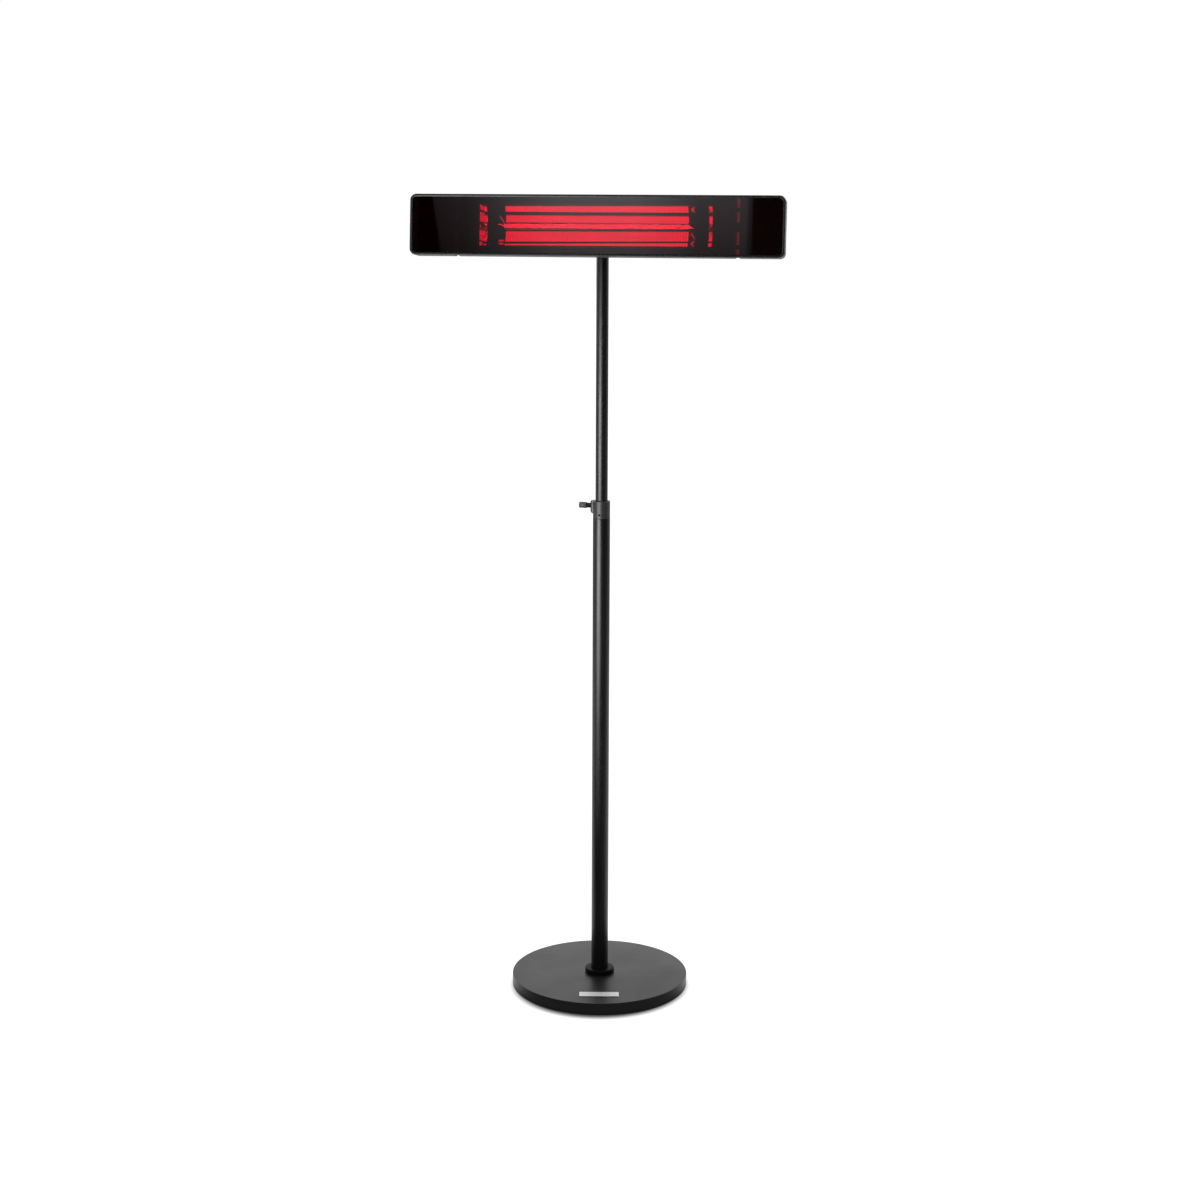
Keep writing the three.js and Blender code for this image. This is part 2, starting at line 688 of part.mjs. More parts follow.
place(pole, 'outer_tube', outerTube(), blackPowderCoat);
place(pole, 'pole_plug', polePlug(), steel);
place(pole, 'tube_bush', guideBush(), whiteNylon);
place(pole, 'clamp_collar', clampCollar(), collarGrey);
place(pole, 'collar_screw', collarScrew(), blackAluminium);

// The clamp's pieces are drawn along X from the mast's axis, outwards towards -X.
const clamp = new THREE.Group();
clamp.position.z = CLAMP_HEIGHT;
pole.add(clamp);
const padFace = mastRadius + SEAT;
const studTip = padFace + PAD_THICKNESS + SEAT;
const knobStart = BOSS_REACH + SEAT;

/** Knurled thumb knob with a slimmer neck, bored blind for the stud. */
function clampKnob() {
  const neckEnd = knobStart + KNOB_NECK_LENGTH;
  const end = neckEnd + KNOB_HEAD_LENGTH;
  const head = KNOB_HEAD_DIAMETER / 2;
  const neck = KNOB_NECK_DIAMETER / 2;
  const body = revolve([
    [0, -knobStart],
    [neck, -knobStart],
    [neck, -neckEnd],
    [head - KNOB_CHAMFER, -neckEnd],
    [head, -neckEnd - KNOB_CHAMFER],
    [head, KNOB_CHAMFER - end],
    [head - KNOB_CHAMFER, -end],
    [0, -end],
  ], ROUND_SIDES, 'x');
  const flutes = Array.from({ length: KNOB_FLUTES }, (_, i) => {
    const angle = ((i + 0.5) / KNOB_FLUTES) * Math.PI * 2;
    const reach = head + KNOB_FLUTE_RADIUS / 2;
    const flute = rod(KNOB_FLUTE_RADIUS, 'x', -end - 1, 0.1 - neckEnd, 6);
    return moved(flute, 0, reach * Math.cos(angle), reach * Math.sin(angle));
  });
  const bore = rod(STUD_DIAMETER / 2 + SEAT, 'x', -knobStart - STUD_IN_KNOB - SEAT, 1 - knobStart);
  return cut(body, bore, ...flutes);
}

place(clamp, 'clamp_pad', rod(STUD_DIAMETER / 2, 'x', -padFace - PAD_THICKNESS, -padFace), whiteNylon);
place(clamp, 'clamp_stud', rod(STUD_DIAMETER / 2, 'x', -knobStart - STUD_IN_KNOB, -studTip), steel);
place(clamp, 'clamp_knob', clampKnob(), knobPlastic);

// ---------------------------------------------------------------- mast

// The mast's pieces are drawn from its lower end.
const mast = new THREE.Group();
mast.position.z = mastBottom;
heater.add(mast);

/** Cup under the mast that keeps it central in the outer tube. */
function glideBush() {
  const floor = -SEAT - GLIDE_FLOOR;
  const outer = tubeBore - RUN;
  const bore = mastRadius + RUN;
  const hole = GLIDE_SCREW_DIAMETER / 2 + SEAT;
  return revolve([
    [hole, floor],
    [outer, floor],
    [outer, GLIDE_WALL_HEIGHT],
    [bore, GLIDE_WALL_HEIGHT],
    [bore, -SEAT],
    [hole, -SEAT],
  ], TUBE_SIDES);
}

function glideScrew() {
  const seat = -SEAT - GLIDE_FLOOR - SEAT;
  return union(
    rod(GLIDE_SCREW_HEAD_RADIUS, 'z', seat - GLIDE_SCREW_HEAD, seat),
    rod(GLIDE_SCREW_DIAMETER / 2, 'z', seat - 1, seat + GLIDE_SCREW_LENGTH),
  );
}

function mastPlug() {
  const plug = rod(mastBore - SEAT, 'z', 0, MAST_PLUG_LENGTH, ROUND_SIDES);
  const depth = GLIDE_SCREW_LENGTH - GLIDE_FLOOR;
  return cut(plug, rod(GLIDE_SCREW_DIAMETER / 2 + SEAT, 'z', -1, depth));
}

function headScrewHole(radius, from, to) {
  return moved(rod(radius, 'y', from, to, SCREW_SIDES), 0, 0, -HEAD_SCREW_DROP);
}

function mastTube() {
  const tube = pipe(mastRadius, mastBore, 0, MAST_LENGTH, TUBE_SIDES);
  const hole = headScrewHole(HEAD_SCREW_DIAMETER / 2 + SEAT, mastBore - 1, mastRadius + 1);
  return cut(tube, moved(hole, 0, 0, MAST_LENGTH));
}

place(mast, 'glide_bush', glideBush(), whiteNylon);
place(mast, 'glide_screw', glideScrew(), steel);
place(mast, 'mast_plug', mastPlug(), blackPlastic);
place(mast, 'mast_tube', mastTube(), blackPowderCoat);

// ---------------------------------------------------------------- mast head and pivot

// The fork's pieces are drawn from the mast's top rim.
const fork = new THREE.Group();
fork.position.z = MAST_LENGTH;
mast.add(fork);

/** Cast fork: a spigot in the mast, a block on its rim and two ears reaching to the pivot. */
function mastHead() {
  const side = new THREE.Shape();
  side.moveTo(mastRadius, SEAT);
  side.lineTo(mastRadius, HEAD_BLOCK_HEIGHT);
  side.quadraticCurveTo(mastRadius, PIVOT_RISE + EAR_RADIUS, -EAR_RADIUS, PIVOT_RISE + EAR_RADIUS);
  side.lineTo(-PIVOT_REACH, PIVOT_RISE + EAR_RADIUS);
  side.absarc(-PIVOT_REACH, PIVOT_RISE, EAR_RADIUS, Math.PI / 2, Math.PI * 1.25);
  side.quadraticCurveTo(-mastRadius - HEAD_BLOCK_FLARE, SEAT, -mastRadius, SEAT);
  const plan = new THREE.Shape();
  const half = forkWidth / 2;
  const tip = -PIVOT_REACH - EAR_RADIUS;
  plan.moveTo(-half, tip);
  plan.lineTo(half, tip);
  plan.absarc(half - EAR_RADIUS, mastRadius - EAR_RADIUS, EAR_RADIUS, 0, Math.PI / 2);
  plan.absarc(EAR_RADIUS - half, mastRadius - EAR_RADIUS, EAR_RADIUS, Math.PI / 2, Math.PI);
  const top = PIVOT_RISE + EAR_RADIUS;
  const block = extrude(side, 'yz', -half, half).intersect(extrude(plan, 'xy', SEAT, top));
  const spigot = rod(mastBore - SEAT, 'z', -SPIGOT_LENGTH, SEAT + 1, ROUND_SIDES);
  const slotHalf = TONGUE_WIDTH / 2 + SEAT;
  const crotch = EAR_RADIUS + CROTCH_CLEARANCE - PIVOT_REACH;
  const slot = box([-slotHalf, slotHalf], [tip - 1, crotch], [0, top + 1]);
  const pin = rod(PIVOT_BOLT_DIAMETER / 2 + RUN, 'x', -half - 1, half + 1);
  const screw = headScrewHole(HEAD_SCREW_DIAMETER / 2 + SEAT, mastRadius - HEAD_SCREW_LENGTH, mastRadius);
  return cut(union(block, spigot), slot, moved(pin, 0, -PIVOT_REACH, PIVOT_RISE), screw);
}

function headScrew() {
  const seat = mastRadius + SEAT;
  const shank = headScrewHole(HEAD_SCREW_DIAMETER / 2, seat - HEAD_SCREW_LENGTH + 2 * SEAT, seat + 1);
  return union(shank, headScrewHole(HEAD_SCREW_HEAD_RADIUS, seat, seat + HEAD_SCREW_HEAD));
}

place(fork, 'mast_head', mastHead(), blackAluminium);
place(fork, 'mast_head_screw', headScrew(), steel);

const pivot = new THREE.Group();
pivot.position.set(0, -PIVOT_REACH, PIVOT_RISE);
fork.add(pivot);
const washerInner = forkWidth / 2 + SEAT;
const washerOuter = washerInner + PIVOT_WASHER_THICKNESS;
const pivotStop = washerOuter + SEAT;

function pivotWasher(from, to) {
  return pipe(PIVOT_WASHER_RADIUS, PIVOT_BOLT_DIAMETER / 2 + SEAT, from, to, BOLT_SIDES, 'x');
}

function pivotBolt() {
  return union(
    hexBar(PIVOT_BOLT_HEX, 'x', -pivotStop - PIVOT_BOLT_HEAD, -pivotStop),
    rod(PIVOT_BOLT_DIAMETER / 2, 'x', -pivotStop - 1, pivotStop + PIVOT_BOLT_IN_KNOB),
  );
}

/** Scalloped hand knob, bored blind for the pivot bolt's end. */
function pivotKnob() {
  const gripStart = pivotStop + PIVOT_KNOB_HUB_LENGTH;
  const end = gripStart + PIVOT_KNOB_GRIP;
  const body = revolve([
    [0, pivotStop],
    [PIVOT_KNOB_HUB, pivotStop],
    [PIVOT_KNOB_HUB, gripStart],
    [PIVOT_KNOB_RADIUS - KNOB_CHAMFER, gripStart],
    [PIVOT_KNOB_RADIUS, gripStart + KNOB_CHAMFER],
    [PIVOT_KNOB_RADIUS, end - KNOB_CHAMFER],
    [PIVOT_KNOB_RADIUS - KNOB_CHAMFER, end],
    [0, end],
  ], ROUND_SIDES, 'x');
  const scallops = Array.from({ length: PIVOT_KNOB_LOBES }, (_, i) => {
    const angle = (i / PIVOT_KNOB_LOBES) * Math.PI * 2;
    const reach = PIVOT_KNOB_RADIUS + PIVOT_KNOB_SCALLOP / 2;
    const scallop = rod(PIVOT_KNOB_SCALLOP, 'x', gripStart - 0.1, end + 1, SCREW_SIDES);
    return moved(scallop, 0, reach * Math.cos(angle), reach * Math.sin(angle));
  });
  const boreEnd = pivotStop + PIVOT_BOLT_IN_KNOB + SEAT;
  return cut(body, rod(PIVOT_BOLT_DIAMETER / 2 + SEAT, 'x', pivotStop - 1, boreEnd), ...scallops);
}

place(pivot, 'pivot_washer_left', pivotWasher(-washerOuter, -washerInner), steel);
place(pivot, 'pivot_washer_right', pivotWasher(washerInner, washerOuter), steel);
place(pivot, 'pivot_bolt', pivotBolt(), steel);
place(pivot, 'pivot_knob', pivotKnob(), blackPlastic);

// ---------------------------------------------------------------- heater head

// The head's pieces are drawn from the middle of the bezel's face, with +Y going into the head.
const tilting = new THREE.Group();
tilting.rotation.x = -radians(HEAD_TILT);
pivot.add(tilting);
const head = new THREE.Group();
head.position.set(0, -pivotDepth, HEAD_RISE);
tilting.add(head);

function headOutline(inset) {
  const radius = HEAD_CORNER - inset;
  return roundedRectangle(HEAD_LENGTH - 2 * inset, HEAD_HEIGHT - 2 * inset, radius);
}

/** Thin frame round the glass: a lip in front of it and a wall round its edge. */
function bezel() {
  const blank = new THREE.ExtrudeGeometry(headOutline(BEZEL_EDGE), {
    depth: gasketBack,
    bevelThickness: BEZEL_EDGE,
    bevelSize: BEZEL_EDGE,
    bevelSegments: 2,
    curveSegments: 4,
  });
  blank.rotateX(-Math.PI / 2);
  blank.translate(0, BEZEL_EDGE, 0);
  const beyond = [gasketBack, gasketBack + 3 * BEZEL_EDGE];
  return cut(
    solid(blank),
    box([-HEAD_LENGTH, HEAD_LENGTH], beyond, [-HEAD_HEIGHT, HEAD_HEIGHT]),
    extrude(headOutline(BEZEL_WALL), 'xz', BEZEL_LIP, gasketBack + 1),
    extrude(headOutline(BEZEL_FACE), 'xz', -1, gasketBack + 1),
  );
}

function glassPanel() {
  return extrude(headOutline(BEZEL_WALL + SEAT), 'xz', glassFront, glassBack);
}

function glassGasket() {
  const outer = headOutline(BEZEL_WALL + SEAT);
  outer.holes.push(headOutline(BEZEL_WALL + SEAT + GASKET_WIDTH));
  return extrude(outer, 'xz', gasketFront, gasketBack);
}

/** The housing's cross-section without its front: square in front, rounded at the back. */
function sectionShape(front, back, half, radius) {
  const shape = new THREE.Shape();
  shape.moveTo(front, -half);
  shape.lineTo(back - radius, -half);
  shape.absarc(back - radius, radius - half, radius, -Math.PI / 2, 0);
  shape.absarc(back - radius, half - radius, radius, 0, Math.PI / 2);
  shape.lineTo(front, half);
  shape.closePath();
  return shape;
}

/** Extruded trough with lips in front and cooling fins on its back. */
function centreHousing() {
  const half = HEAD_HEIGHT / 2;
  const lip = half - HOUSING_LIP;
  const inner = half - HOUSING_WALL;
  const corner = housingBack - HOUSING_BACK_RADIUS;
  const cornerZ = half - HOUSING_BACK_RADIUS;
  const wallFront = housingFront + HOUSING_WALL;
  const shape = new THREE.Shape();
  shape.moveTo(housingFront, lip);
  shape.lineTo(housingFront, half);
  shape.absarc(corner, cornerZ, HOUSING_BACK_RADIUS, Math.PI / 2, 0, true);
  for (let i = 0; i < FIN_COUNT; i += 1) {
    const z = ((FIN_COUNT - 1) / 2 - i) * FIN_PITCH;
    shape.lineTo(housingBack, z + FIN_WIDTH / 2);
    shape.lineTo(housingBack + FIN_HEIGHT, z + FIN_WIDTH / 4);
    shape.lineTo(housingBack + FIN_HEIGHT, z - FIN_WIDTH / 4);
    shape.lineTo(housingBack, z - FIN_WIDTH / 2);
  }
  shape.absarc(corner, -cornerZ, HOUSING_BACK_RADIUS, 0, -Math.PI / 2, true);
  shape.lineTo(housingFront, -half);
  shape.lineTo(housingFront, -lip);
  shape.lineTo(wallFront, -lip);
  shape.lineTo(wallFront, -inner);
  shape.absarc(corner, -cornerZ, HOUSING_BACK_RADIUS - HOUSING_WALL, -Math.PI / 2, 0);
  shape.absarc(corner, cornerZ, HOUSING_BACK_RADIUS - HOUSING_WALL, 0, Math.PI / 2);
  shape.lineTo(wallFront, inner);
  shape.lineTo(wallFront, lip);
  shape.closePath();
  return extrude(shape, 'yz', -gapInner, gapInner);
}

function ductHole(from, to) {
  const outline = roundedRectangle(DUCT_DEPTH + 2 * SEAT, DUCT_HEIGHT + 2 * SEAT, 2 + SEAT);
  return moved(extrude(outline, 'yz', from, to, 3), 0, DUCT_Y, 0);
}

/** Plate that closes the centre housing's end, open for the duct. */
function endPlate() {
  const gap = HOUSING_WALL + SEAT;
  const section = sectionShape(housingFront + gap, housingBack - gap, HEAD_HEIGHT / 2 - gap,
    HOUSING_BACK_RADIUS - gap);
  const plate = extrude(section, 'yz', gapInner - END_PLATE_THICKNESS, gapInner);
  return cut(plate, ductHole(0, gapInner + 1));
}

/** One end of the head as a full block, its faces moved in by an inset, its front by another. */
function capBlock(inset, front) {
  const end = HEAD_LENGTH / 2 - inset;
  const start = gapOuter + inset;
  const half = HEAD_HEIGHT / 2 - inset;
  const back = housingBack - inset;
  const corner = HEAD_CORNER - inset;
  const round = HOUSING_BACK_RADIUS - inset;
  const face = new THREE.Shape();
  face.moveTo(start, -half);
  face.lineTo(end - corner, -half);
  face.absarc(end - corner, corner - half, corner, -Math.PI / 2, 0);
  face.absarc(end - corner, half - corner, corner, 0, Math.PI / 2);
  face.lineTo(start, half);
  face.closePath();
  const plan = new THREE.Shape();
  plan.moveTo(start, front);
  plan.lineTo(end, front);
  plan.absarc(end - round, back - round, round, 0, Math.PI / 2);
  plan.lineTo(start, back);
  plan.closePath();
  return extrude(sectionShape(front, back, half, round), 'yz', start, end)
    .intersect(extrude(face, 'xz', front, back))
    .intersect(extrude(plan, 'xy', -half, half));
}

/** Hollow end cap, open towards the glass and towards the duct. */
function endCap() {
  const shell = cut(capBlock(0, housingFront), capBlock(CAP_WALL, housingFront - 1));
  return cut(shell, ductHole(gapOuter - 1, gapOuter + CAP_WALL + 1));
}

function glandHole(radius, from, to, segments = BOLT_SIDES) {
  return moved(rod(radius, 'y', from, to, segments), glandX, 0, 0);
}

function duct() {
  const outline = roundedRectangle(DUCT_DEPTH, DUCT_HEIGHT, 2);
  outline.holes.push(roundedRectangle(DUCT_DEPTH - 2 * DUCT_WALL, DUCT_HEIGHT - 2 * DUCT_WALL, 1));
  const start = gapInner - END_PLATE_THICKNESS - DUCT_OVERLAP;
  return moved(extrude(outline, 'yz', start, ductEnd, 3), 0, DUCT_Y, 0);
}

/** Mounting track: a channel with an undercut slot, open to the back. */
function track() {
  const half = TRACK_HEIGHT / 2;
  const slot = TRACK_SLOT / 2;
  const inner = half - TRACK_WALL;
  const floor = trackFront + TRACK_WALL;
  const lip = trackBack - TRACK_WALL;
  return extrude(shapeOf([
    [trackFront, -half], [trackBack, -half], [trackBack, -slot], [lip, -slot],
    [lip, -inner], [floor, -inner], [floor, inner], [lip, inner],
    [lip, slot], [trackBack, slot], [trackBack, half], [trackFront, half],
  ]), 'yz', -trackHalf, trackHalf);
}

/** Corner points [depth, height] of the reflector's facets, from the top edge to the bottom. */
function facetPoints() {
  const side = Array.from({ length: REFLECTOR_FACETS }, (_, i) => {
    const angle = radians(90 - (90 * i) / REFLECTOR_FACETS);
    return [flangeFront + REFLECTOR_DEPTH * Math.cos(angle), openingHalf * Math.sin(angle)];
  });
  const ridge = [flangeFront + REFLECTOR_DEPTH - REFLECTOR_RIDGE, 0];
  const lower = side.map(([y, z]) => [y, -z]).reverse();
  return [...side, ridge, ...lower];
}

/** Folded mirror trough with flanges behind the housing's lips. */
function reflector() {
  const points = [[flangeFront, flangeHalf], ...facetPoints(), [flangeFront, -flangeHalf]];
  const outline = sheetOutline(points.reverse(), REFLECTOR_SHEET);
  return extrude(outline, 'yz', -reflectorHalf, reflectorHalf);
}

/** Plate across the trough's end with a hole for the lamp, drawn from its front edge. */
function reflectorEnd() {
  const shrink = 1 - (2 * SEAT) / openingHalf;
  const outline = shapeOf(facetPoints().map(([y, z]) => [(y - flangeFront) * shrink, z * shrink]));
  const plate = extrude(outline, 'yz', 0, REFLECTOR_SHEET);
  const hole = rod(lampRadius + LAMP_CLEARANCE, 'x', -1, REFLECTOR_SHEET + 1);
  return cut(plate, moved(hole, 0, LAMP_Y - flangeFront, 0));
}

/** Folded sheet between the reflector and the housing. */
function heatShield() {
  const upper = [
    [shieldFront, flangeHalf],
    [shieldFront, openingHalf + SHIELD_FLAT],
    [shieldFront + REFLECTOR_DEPTH * SHIELD_SHOULDER, openingHalf - SHIELD_TAPER],
    [shieldBack, openingHalf / 2],
  ];
  const lower = upper.map(([y, z]) => [y, -z]).reverse();
  const outline = sheetOutline([...upper, ...lower].reverse(), SHIELD_SHEET);
  return extrude(outline, 'yz', -shieldHalf, shieldHalf);
}

/** Centre line of the filament: a straight lead, the curls, and the other lead. */
function filamentPoints() {
  const stepsPerCurl = 8;
  const steps = Math.round((2 * filamentHalf) / FILAMENT_PITCH) * stepsPerCurl;
  const leadCurl = stepsPerCurl * 1.5;
  const points = [];
  for (let i = 0; i <= steps; i += 1) {
    const angle = (i / stepsPerCurl) * Math.PI * 2;
    const opening = Math.min(i, steps - i) / leadCurl;
    const radius = FILAMENT_RADIUS * Math.min(opening, 1);
    const x = -filamentHalf + (2 * filamentHalf * i) / steps;
    points.push(new THREE.Vector3(x, radius * Math.cos(angle), radius * Math.sin(angle)));
  }
  const end = lampHalf - SEAT;
  const bend = filamentHalf + 4 * FILAMENT_WIRE;
  const lead = [end, bend].map((x) => new THREE.Vector3(x, 0, 0));
  return [...lead.map((p) => p.clone().negate()), ...points, ...lead.reverse()];
}

/** The least space between any two stretches of the wire that aren't neighbours. */
function leastGap(points, radius) {
  const apart = 5;
  let least = Infinity;
  for (let i = 0; i < points.length; i += 1) {
    for (let j = i + apart; j < points.length; j += 1) {
      least = Math.min(least, points[i].distanceTo(points[j]));
    }
  }
  return least - 2 * radius;
}

/** Ceramic end of the lamp: a socket for the tube and an entry for the lead wire. */
function lampBase() {
  const outer = LAMP_BASE_RADIUS;
  const body = rod(outer, 'x', lampBaseInner, lampBaseOuter, ROUND_SIDES);
  const socket = rod(lampRadius + SEAT, 'x', lampBaseInner - 1, lampHalf + SEAT, ROUND_SIDES);
  const entry = rod(WIRE_RADIUS + SEAT, 'x', lampBaseOuter - WIRE_ENTRY, lampBaseOuter + 1, 8);
  return cut(body, socket, entry);
}

/** Bracket from the heat shield to a ring round the lamp's end. */
function lampHolder() {
  const bore = LAMP_BASE_RADIUS + SEAT;
  const start = lampBaseInner + HOLDER_OFFSET;
  const end = start + HOLDER_THICKNESS;
  const half = HOLDER_WIDTH / 2;
  const foot = shieldBack - LAMP_Y - SEAT;
  const stem = box([start, end], [0, foot], [-half, half]);
  return cut(union(stem, rod(bore + HOLDER_RING, 'x', start, end)), rod(bore, 'x', 0, end + 1));
}

/** Lead from the right-hand end of the lamp through the duct to the terminal block. */
function rightLead() {
  const z = WIRE_SPACING / 2;
  return leadWire([
    [wireStart, LAMP_Y, 0],
    [lampBaseOuter - 1, LAMP_Y, 0],
    [lampBaseOuter + 1, LAMP_Y, 0],
    [gapInner - 5, DUCT_Y, z - 0.5],
    [gapInner + 4, DUCT_Y, z],
    [ductEnd, DUCT_Y, z],
    ...leadTail(z),
  ]);
}

/** Lead from the left-hand end, led along the housing's lower corner to the same block. */
function leftLead() {
  const z = -WIRE_SPACING / 2;
  const side = lampBaseOuter + 7;
  const low = HOUSING_WALL + WIRE_CORNER - HEAD_HEIGHT / 2;
  const deep = housingBack - HOUSING_WALL - 1.4 * WIRE_CORNER;
  const run = side - 26;
  return leadWire([
    [-wireStart, LAMP_Y, 0],
    [1 - lampBaseOuter, LAMP_Y, 0],
    [-lampBaseOuter - 1, LAMP_Y, 0],
    [-side, LAMP_Y + 2, -8],
    [-side, deep - 6, -28],
    [-side, deep, -46],
    [2 - side, deep, low + 8],
    [12 - side, deep, low + 1],
    [-run, deep, low],
    [-run / 3, deep, low],
    [run / 3, deep, low],
    [run, deep, low],
    [side - 12, deep, low + 1],
    [side - 2, deep, low + 8],
    [side - 1, deep, -46],
    [side - 1, deep - 6, -28],
    [side, DUCT_Y + 1, -12],
    [gapInner - 1, DUCT_Y, z],
    [ductEnd, DUCT_Y, z],
    ...leadTail(z),
  ]);
}

/** From the duct's end into the terminal block. */
function leadTail(z) {
  return [
    [blockStart - BLOCK_SPACE * 0.6, (DUCT_Y + blockY) / 2, z],
    [blockStart - 3, blockY, z],
    [blockStart, blockY, z],
    [blockStart + WIRE_ENTRY - 2 * SEAT, blockY, z],
  ];
}

function terminalBlock() {
  const end = blockStart + BLOCK_LENGTH;
  const half = BLOCK_HEIGHT / 2;
  const block = box([blockStart, end], [blockBack - BLOCK_DEPTH, blockBack], [-half, half]);
  const entries = [-1, 1].map((row) => {
    const entry = rod(WIRE_RADIUS + SEAT, 'x', blockStart - 1, blockStart + WIRE_ENTRY, 8);
    return moved(entry, 0, blockY, (row * WIRE_SPACING) / 2);
  });
  return cut(block, ...entries);
}

function glandBody() {
  const hexStart = housingBack + SEAT;
  const hexEnd = hexStart + GLAND_HEX_LENGTH;
  const start = housingBack - CAP_WALL - GLAND_INSIDE;
  const hex = moved(hexBar(GLAND_HEX, 'y', hexStart, hexEnd), glandX, 0, 0);
  const thread = glandHole(GLAND_THREAD / 2, start, hexStart + 1);
  const neck = glandHole(GLAND_NECK / 2, hexEnd - 1, hexEnd + GLAND_NECK_LENGTH);
  const bore = glandHole(GLAND_BORE / 2, start - 1, hexEnd + GLAND_NECK_LENGTH + 1);
  return cut(union(hex, thread, neck), bore);
}

/** Domed nut over the gland's neck. */
function glandNut() {
  const start = housingBack + SEAT + GLAND_HEX_LENGTH + SEAT;
  const dome = start + GLAND_NECK_LENGTH;
  const end = start + GLAND_NUT_LENGTH;
  const foot = GLAND_NUT_HEX / Math.sqrt(3) - GLAND_DOME_INSET;
  const round = end - dome;
  const hex = moved(hexBar(GLAND_NUT_HEX, 'y', start, dome), glandX, 0, 0);
  const cone = revolve([
    [0, dome - 1],
    [foot, dome - 1],
    [foot, dome],
    ...arc(foot - round, dome, round, 20, 90, 3),
    [0, end],
  ], BOLT_SIDES, 'y');
  return cut(
    union(hex, moved(cone, glandX, 0, 0)),
    glandHole(GLAND_NECK / 2 + SEAT, start - 1, dome + SEAT),
    glandHole(GLAND_BORE / 2, start - 1, end + 1),
  );
}

/** Plate across both tracks with a lug between the fork's ears. */
function tiltBracket() {
  const height = 2 * (trackZ + BRACKET_MARGIN);
  const plate = extrude(roundedRectangle(BRACKET_WIDTH, height, BRACKET_CORNER), 'xz',
    bracketFront, bracketBack);
  const lug = new THREE.Shape();
  lug.moveTo(bracketBack - 1, -LUG_ROOT);
  lug.lineTo(bracketBack, -LUG_ROOT);
  lug.absarc(pivotDepth, 0, EAR_RADIUS, -Math.PI * 0.4, Math.PI * 0.4);
  lug.lineTo(bracketBack, LUG_ROOT);
  lug.lineTo(bracketBack - 1, LUG_ROOT);
  const tongue = moved(extrude(lug, 'yz', -TONGUE_WIDTH / 2, TONGUE_WIDTH / 2), 0, 0, -HEAD_RISE);
  const pin = rod(PIVOT_BOLT_DIAMETER / 2 + RUN, 'x', -TONGUE_WIDTH, TONGUE_WIDTH);
  const boltHole = BRACKET_BOLT_DIAMETER / 2 + SEAT;
  const holes = boltPlaces().map(([x, z]) => {
    return moved(rod(boltHole, 'y', bracketFront - 1, bracketBack + 1, SCREW_SIDES), x, 0, z);
  });
  return cut(union(plate, tongue), moved(pin, 0, pivotDepth, -HEAD_RISE), ...holes);
}

/** Bolt positions [x, z]: upper left, upper right, lower left, lower right. */
function boltPlaces() {
  const x = BRACKET_BOLT_SPACING / 2;
  return [[-x, trackZ], [x, trackZ], [-x, -trackZ], [x, -trackZ]];
}

function bracketBolt() {
  const seat = bracketBack + SEAT;
  const tip = trackFront + TRACK_WALL + SEAT;
  return union(
    rod(BRACKET_BOLT_DIAMETER / 2, 'y', tip, seat + 1, SCREW_SIDES),
    rod(BRACKET_BOLT_HEAD_RADIUS, 'y', seat, seat + BRACKET_BOLT_HEAD, SCREW_SIDES),
  );
}

function slotNut() {
  const back = trackBack - TRACK_WALL - SEAT;
  const half = TRACK_HEIGHT / 2 - TRACK_WALL - SEAT;
  const reach = SLOT_NUT_LENGTH / 2;
  const bar = box([-reach, reach], [back - SLOT_NUT_THICKNESS, back], [-half, half]);
  const holes = [-1, 1].map((side) => {
    const hole = rod(BRACKET_BOLT_DIAMETER / 2 + SEAT, 'y', trackFront, trackBack, SCREW_SIDES);
    return moved(hole, (side * BRACKET_BOLT_SPACING) / 2, 0, 0);
  });
  return cut(bar, ...holes);
}

const reflectorEndX = reflectorHalf - REFLECTOR_SHEET - SEAT;
const filament = filamentPoints();
console.log(`least gap of the filament to itself: ${leastGap(filament, FILAMENT_WIRE).toFixed(2)} mm`);

place(head, 'bezel', bezel(), blackAluminium);
place(head, 'glass_panel', glassPanel(), darkGlass);
place(head, 'glass_gasket', glassGasket(), fibre);
place(head, 'centre_housing', centreHousing(), blackAluminium);
place(head, 'end_plate_left', mirrored(endPlate()), blackAluminium);
place(head, 'end_plate_right', endPlate(), blackAluminium);
place(head, 'end_cap_left', mirrored(endCap()), blackAluminium);
const glandOpening = glandHole(GLAND_THREAD / 2 + SEAT, housingBack - CAP_WALL - 1, housingBack + 1);
place(head, 'end_cap_right', cut(endCap(), glandOpening), blackAluminium);
place(head, 'duct_left', mirrored(duct()), blackAluminium);
place(head, 'duct_right', duct(), blackAluminium);
place(head, 'track_upper', track(), blackAluminium, [0, 0, trackZ]);
place(head, 'track_lower', track(), blackAluminium, [0, 0, -trackZ]);

place(head, 'reflector', reflector(), brightAluminium);
const leftEnd = [-reflectorEndX, flangeFront, 0];
const rightEnd = [reflectorEndX, flangeFront, 0];
place(head, 'reflector_end_left', mirrored(reflectorEnd()), brightAluminium, leftEnd, -FLARE);
place(head, 'reflector_end_right', reflectorEnd(), brightAluminium, rightEnd, FLARE);
place(head, 'heat_shield', heatShield(), steel);

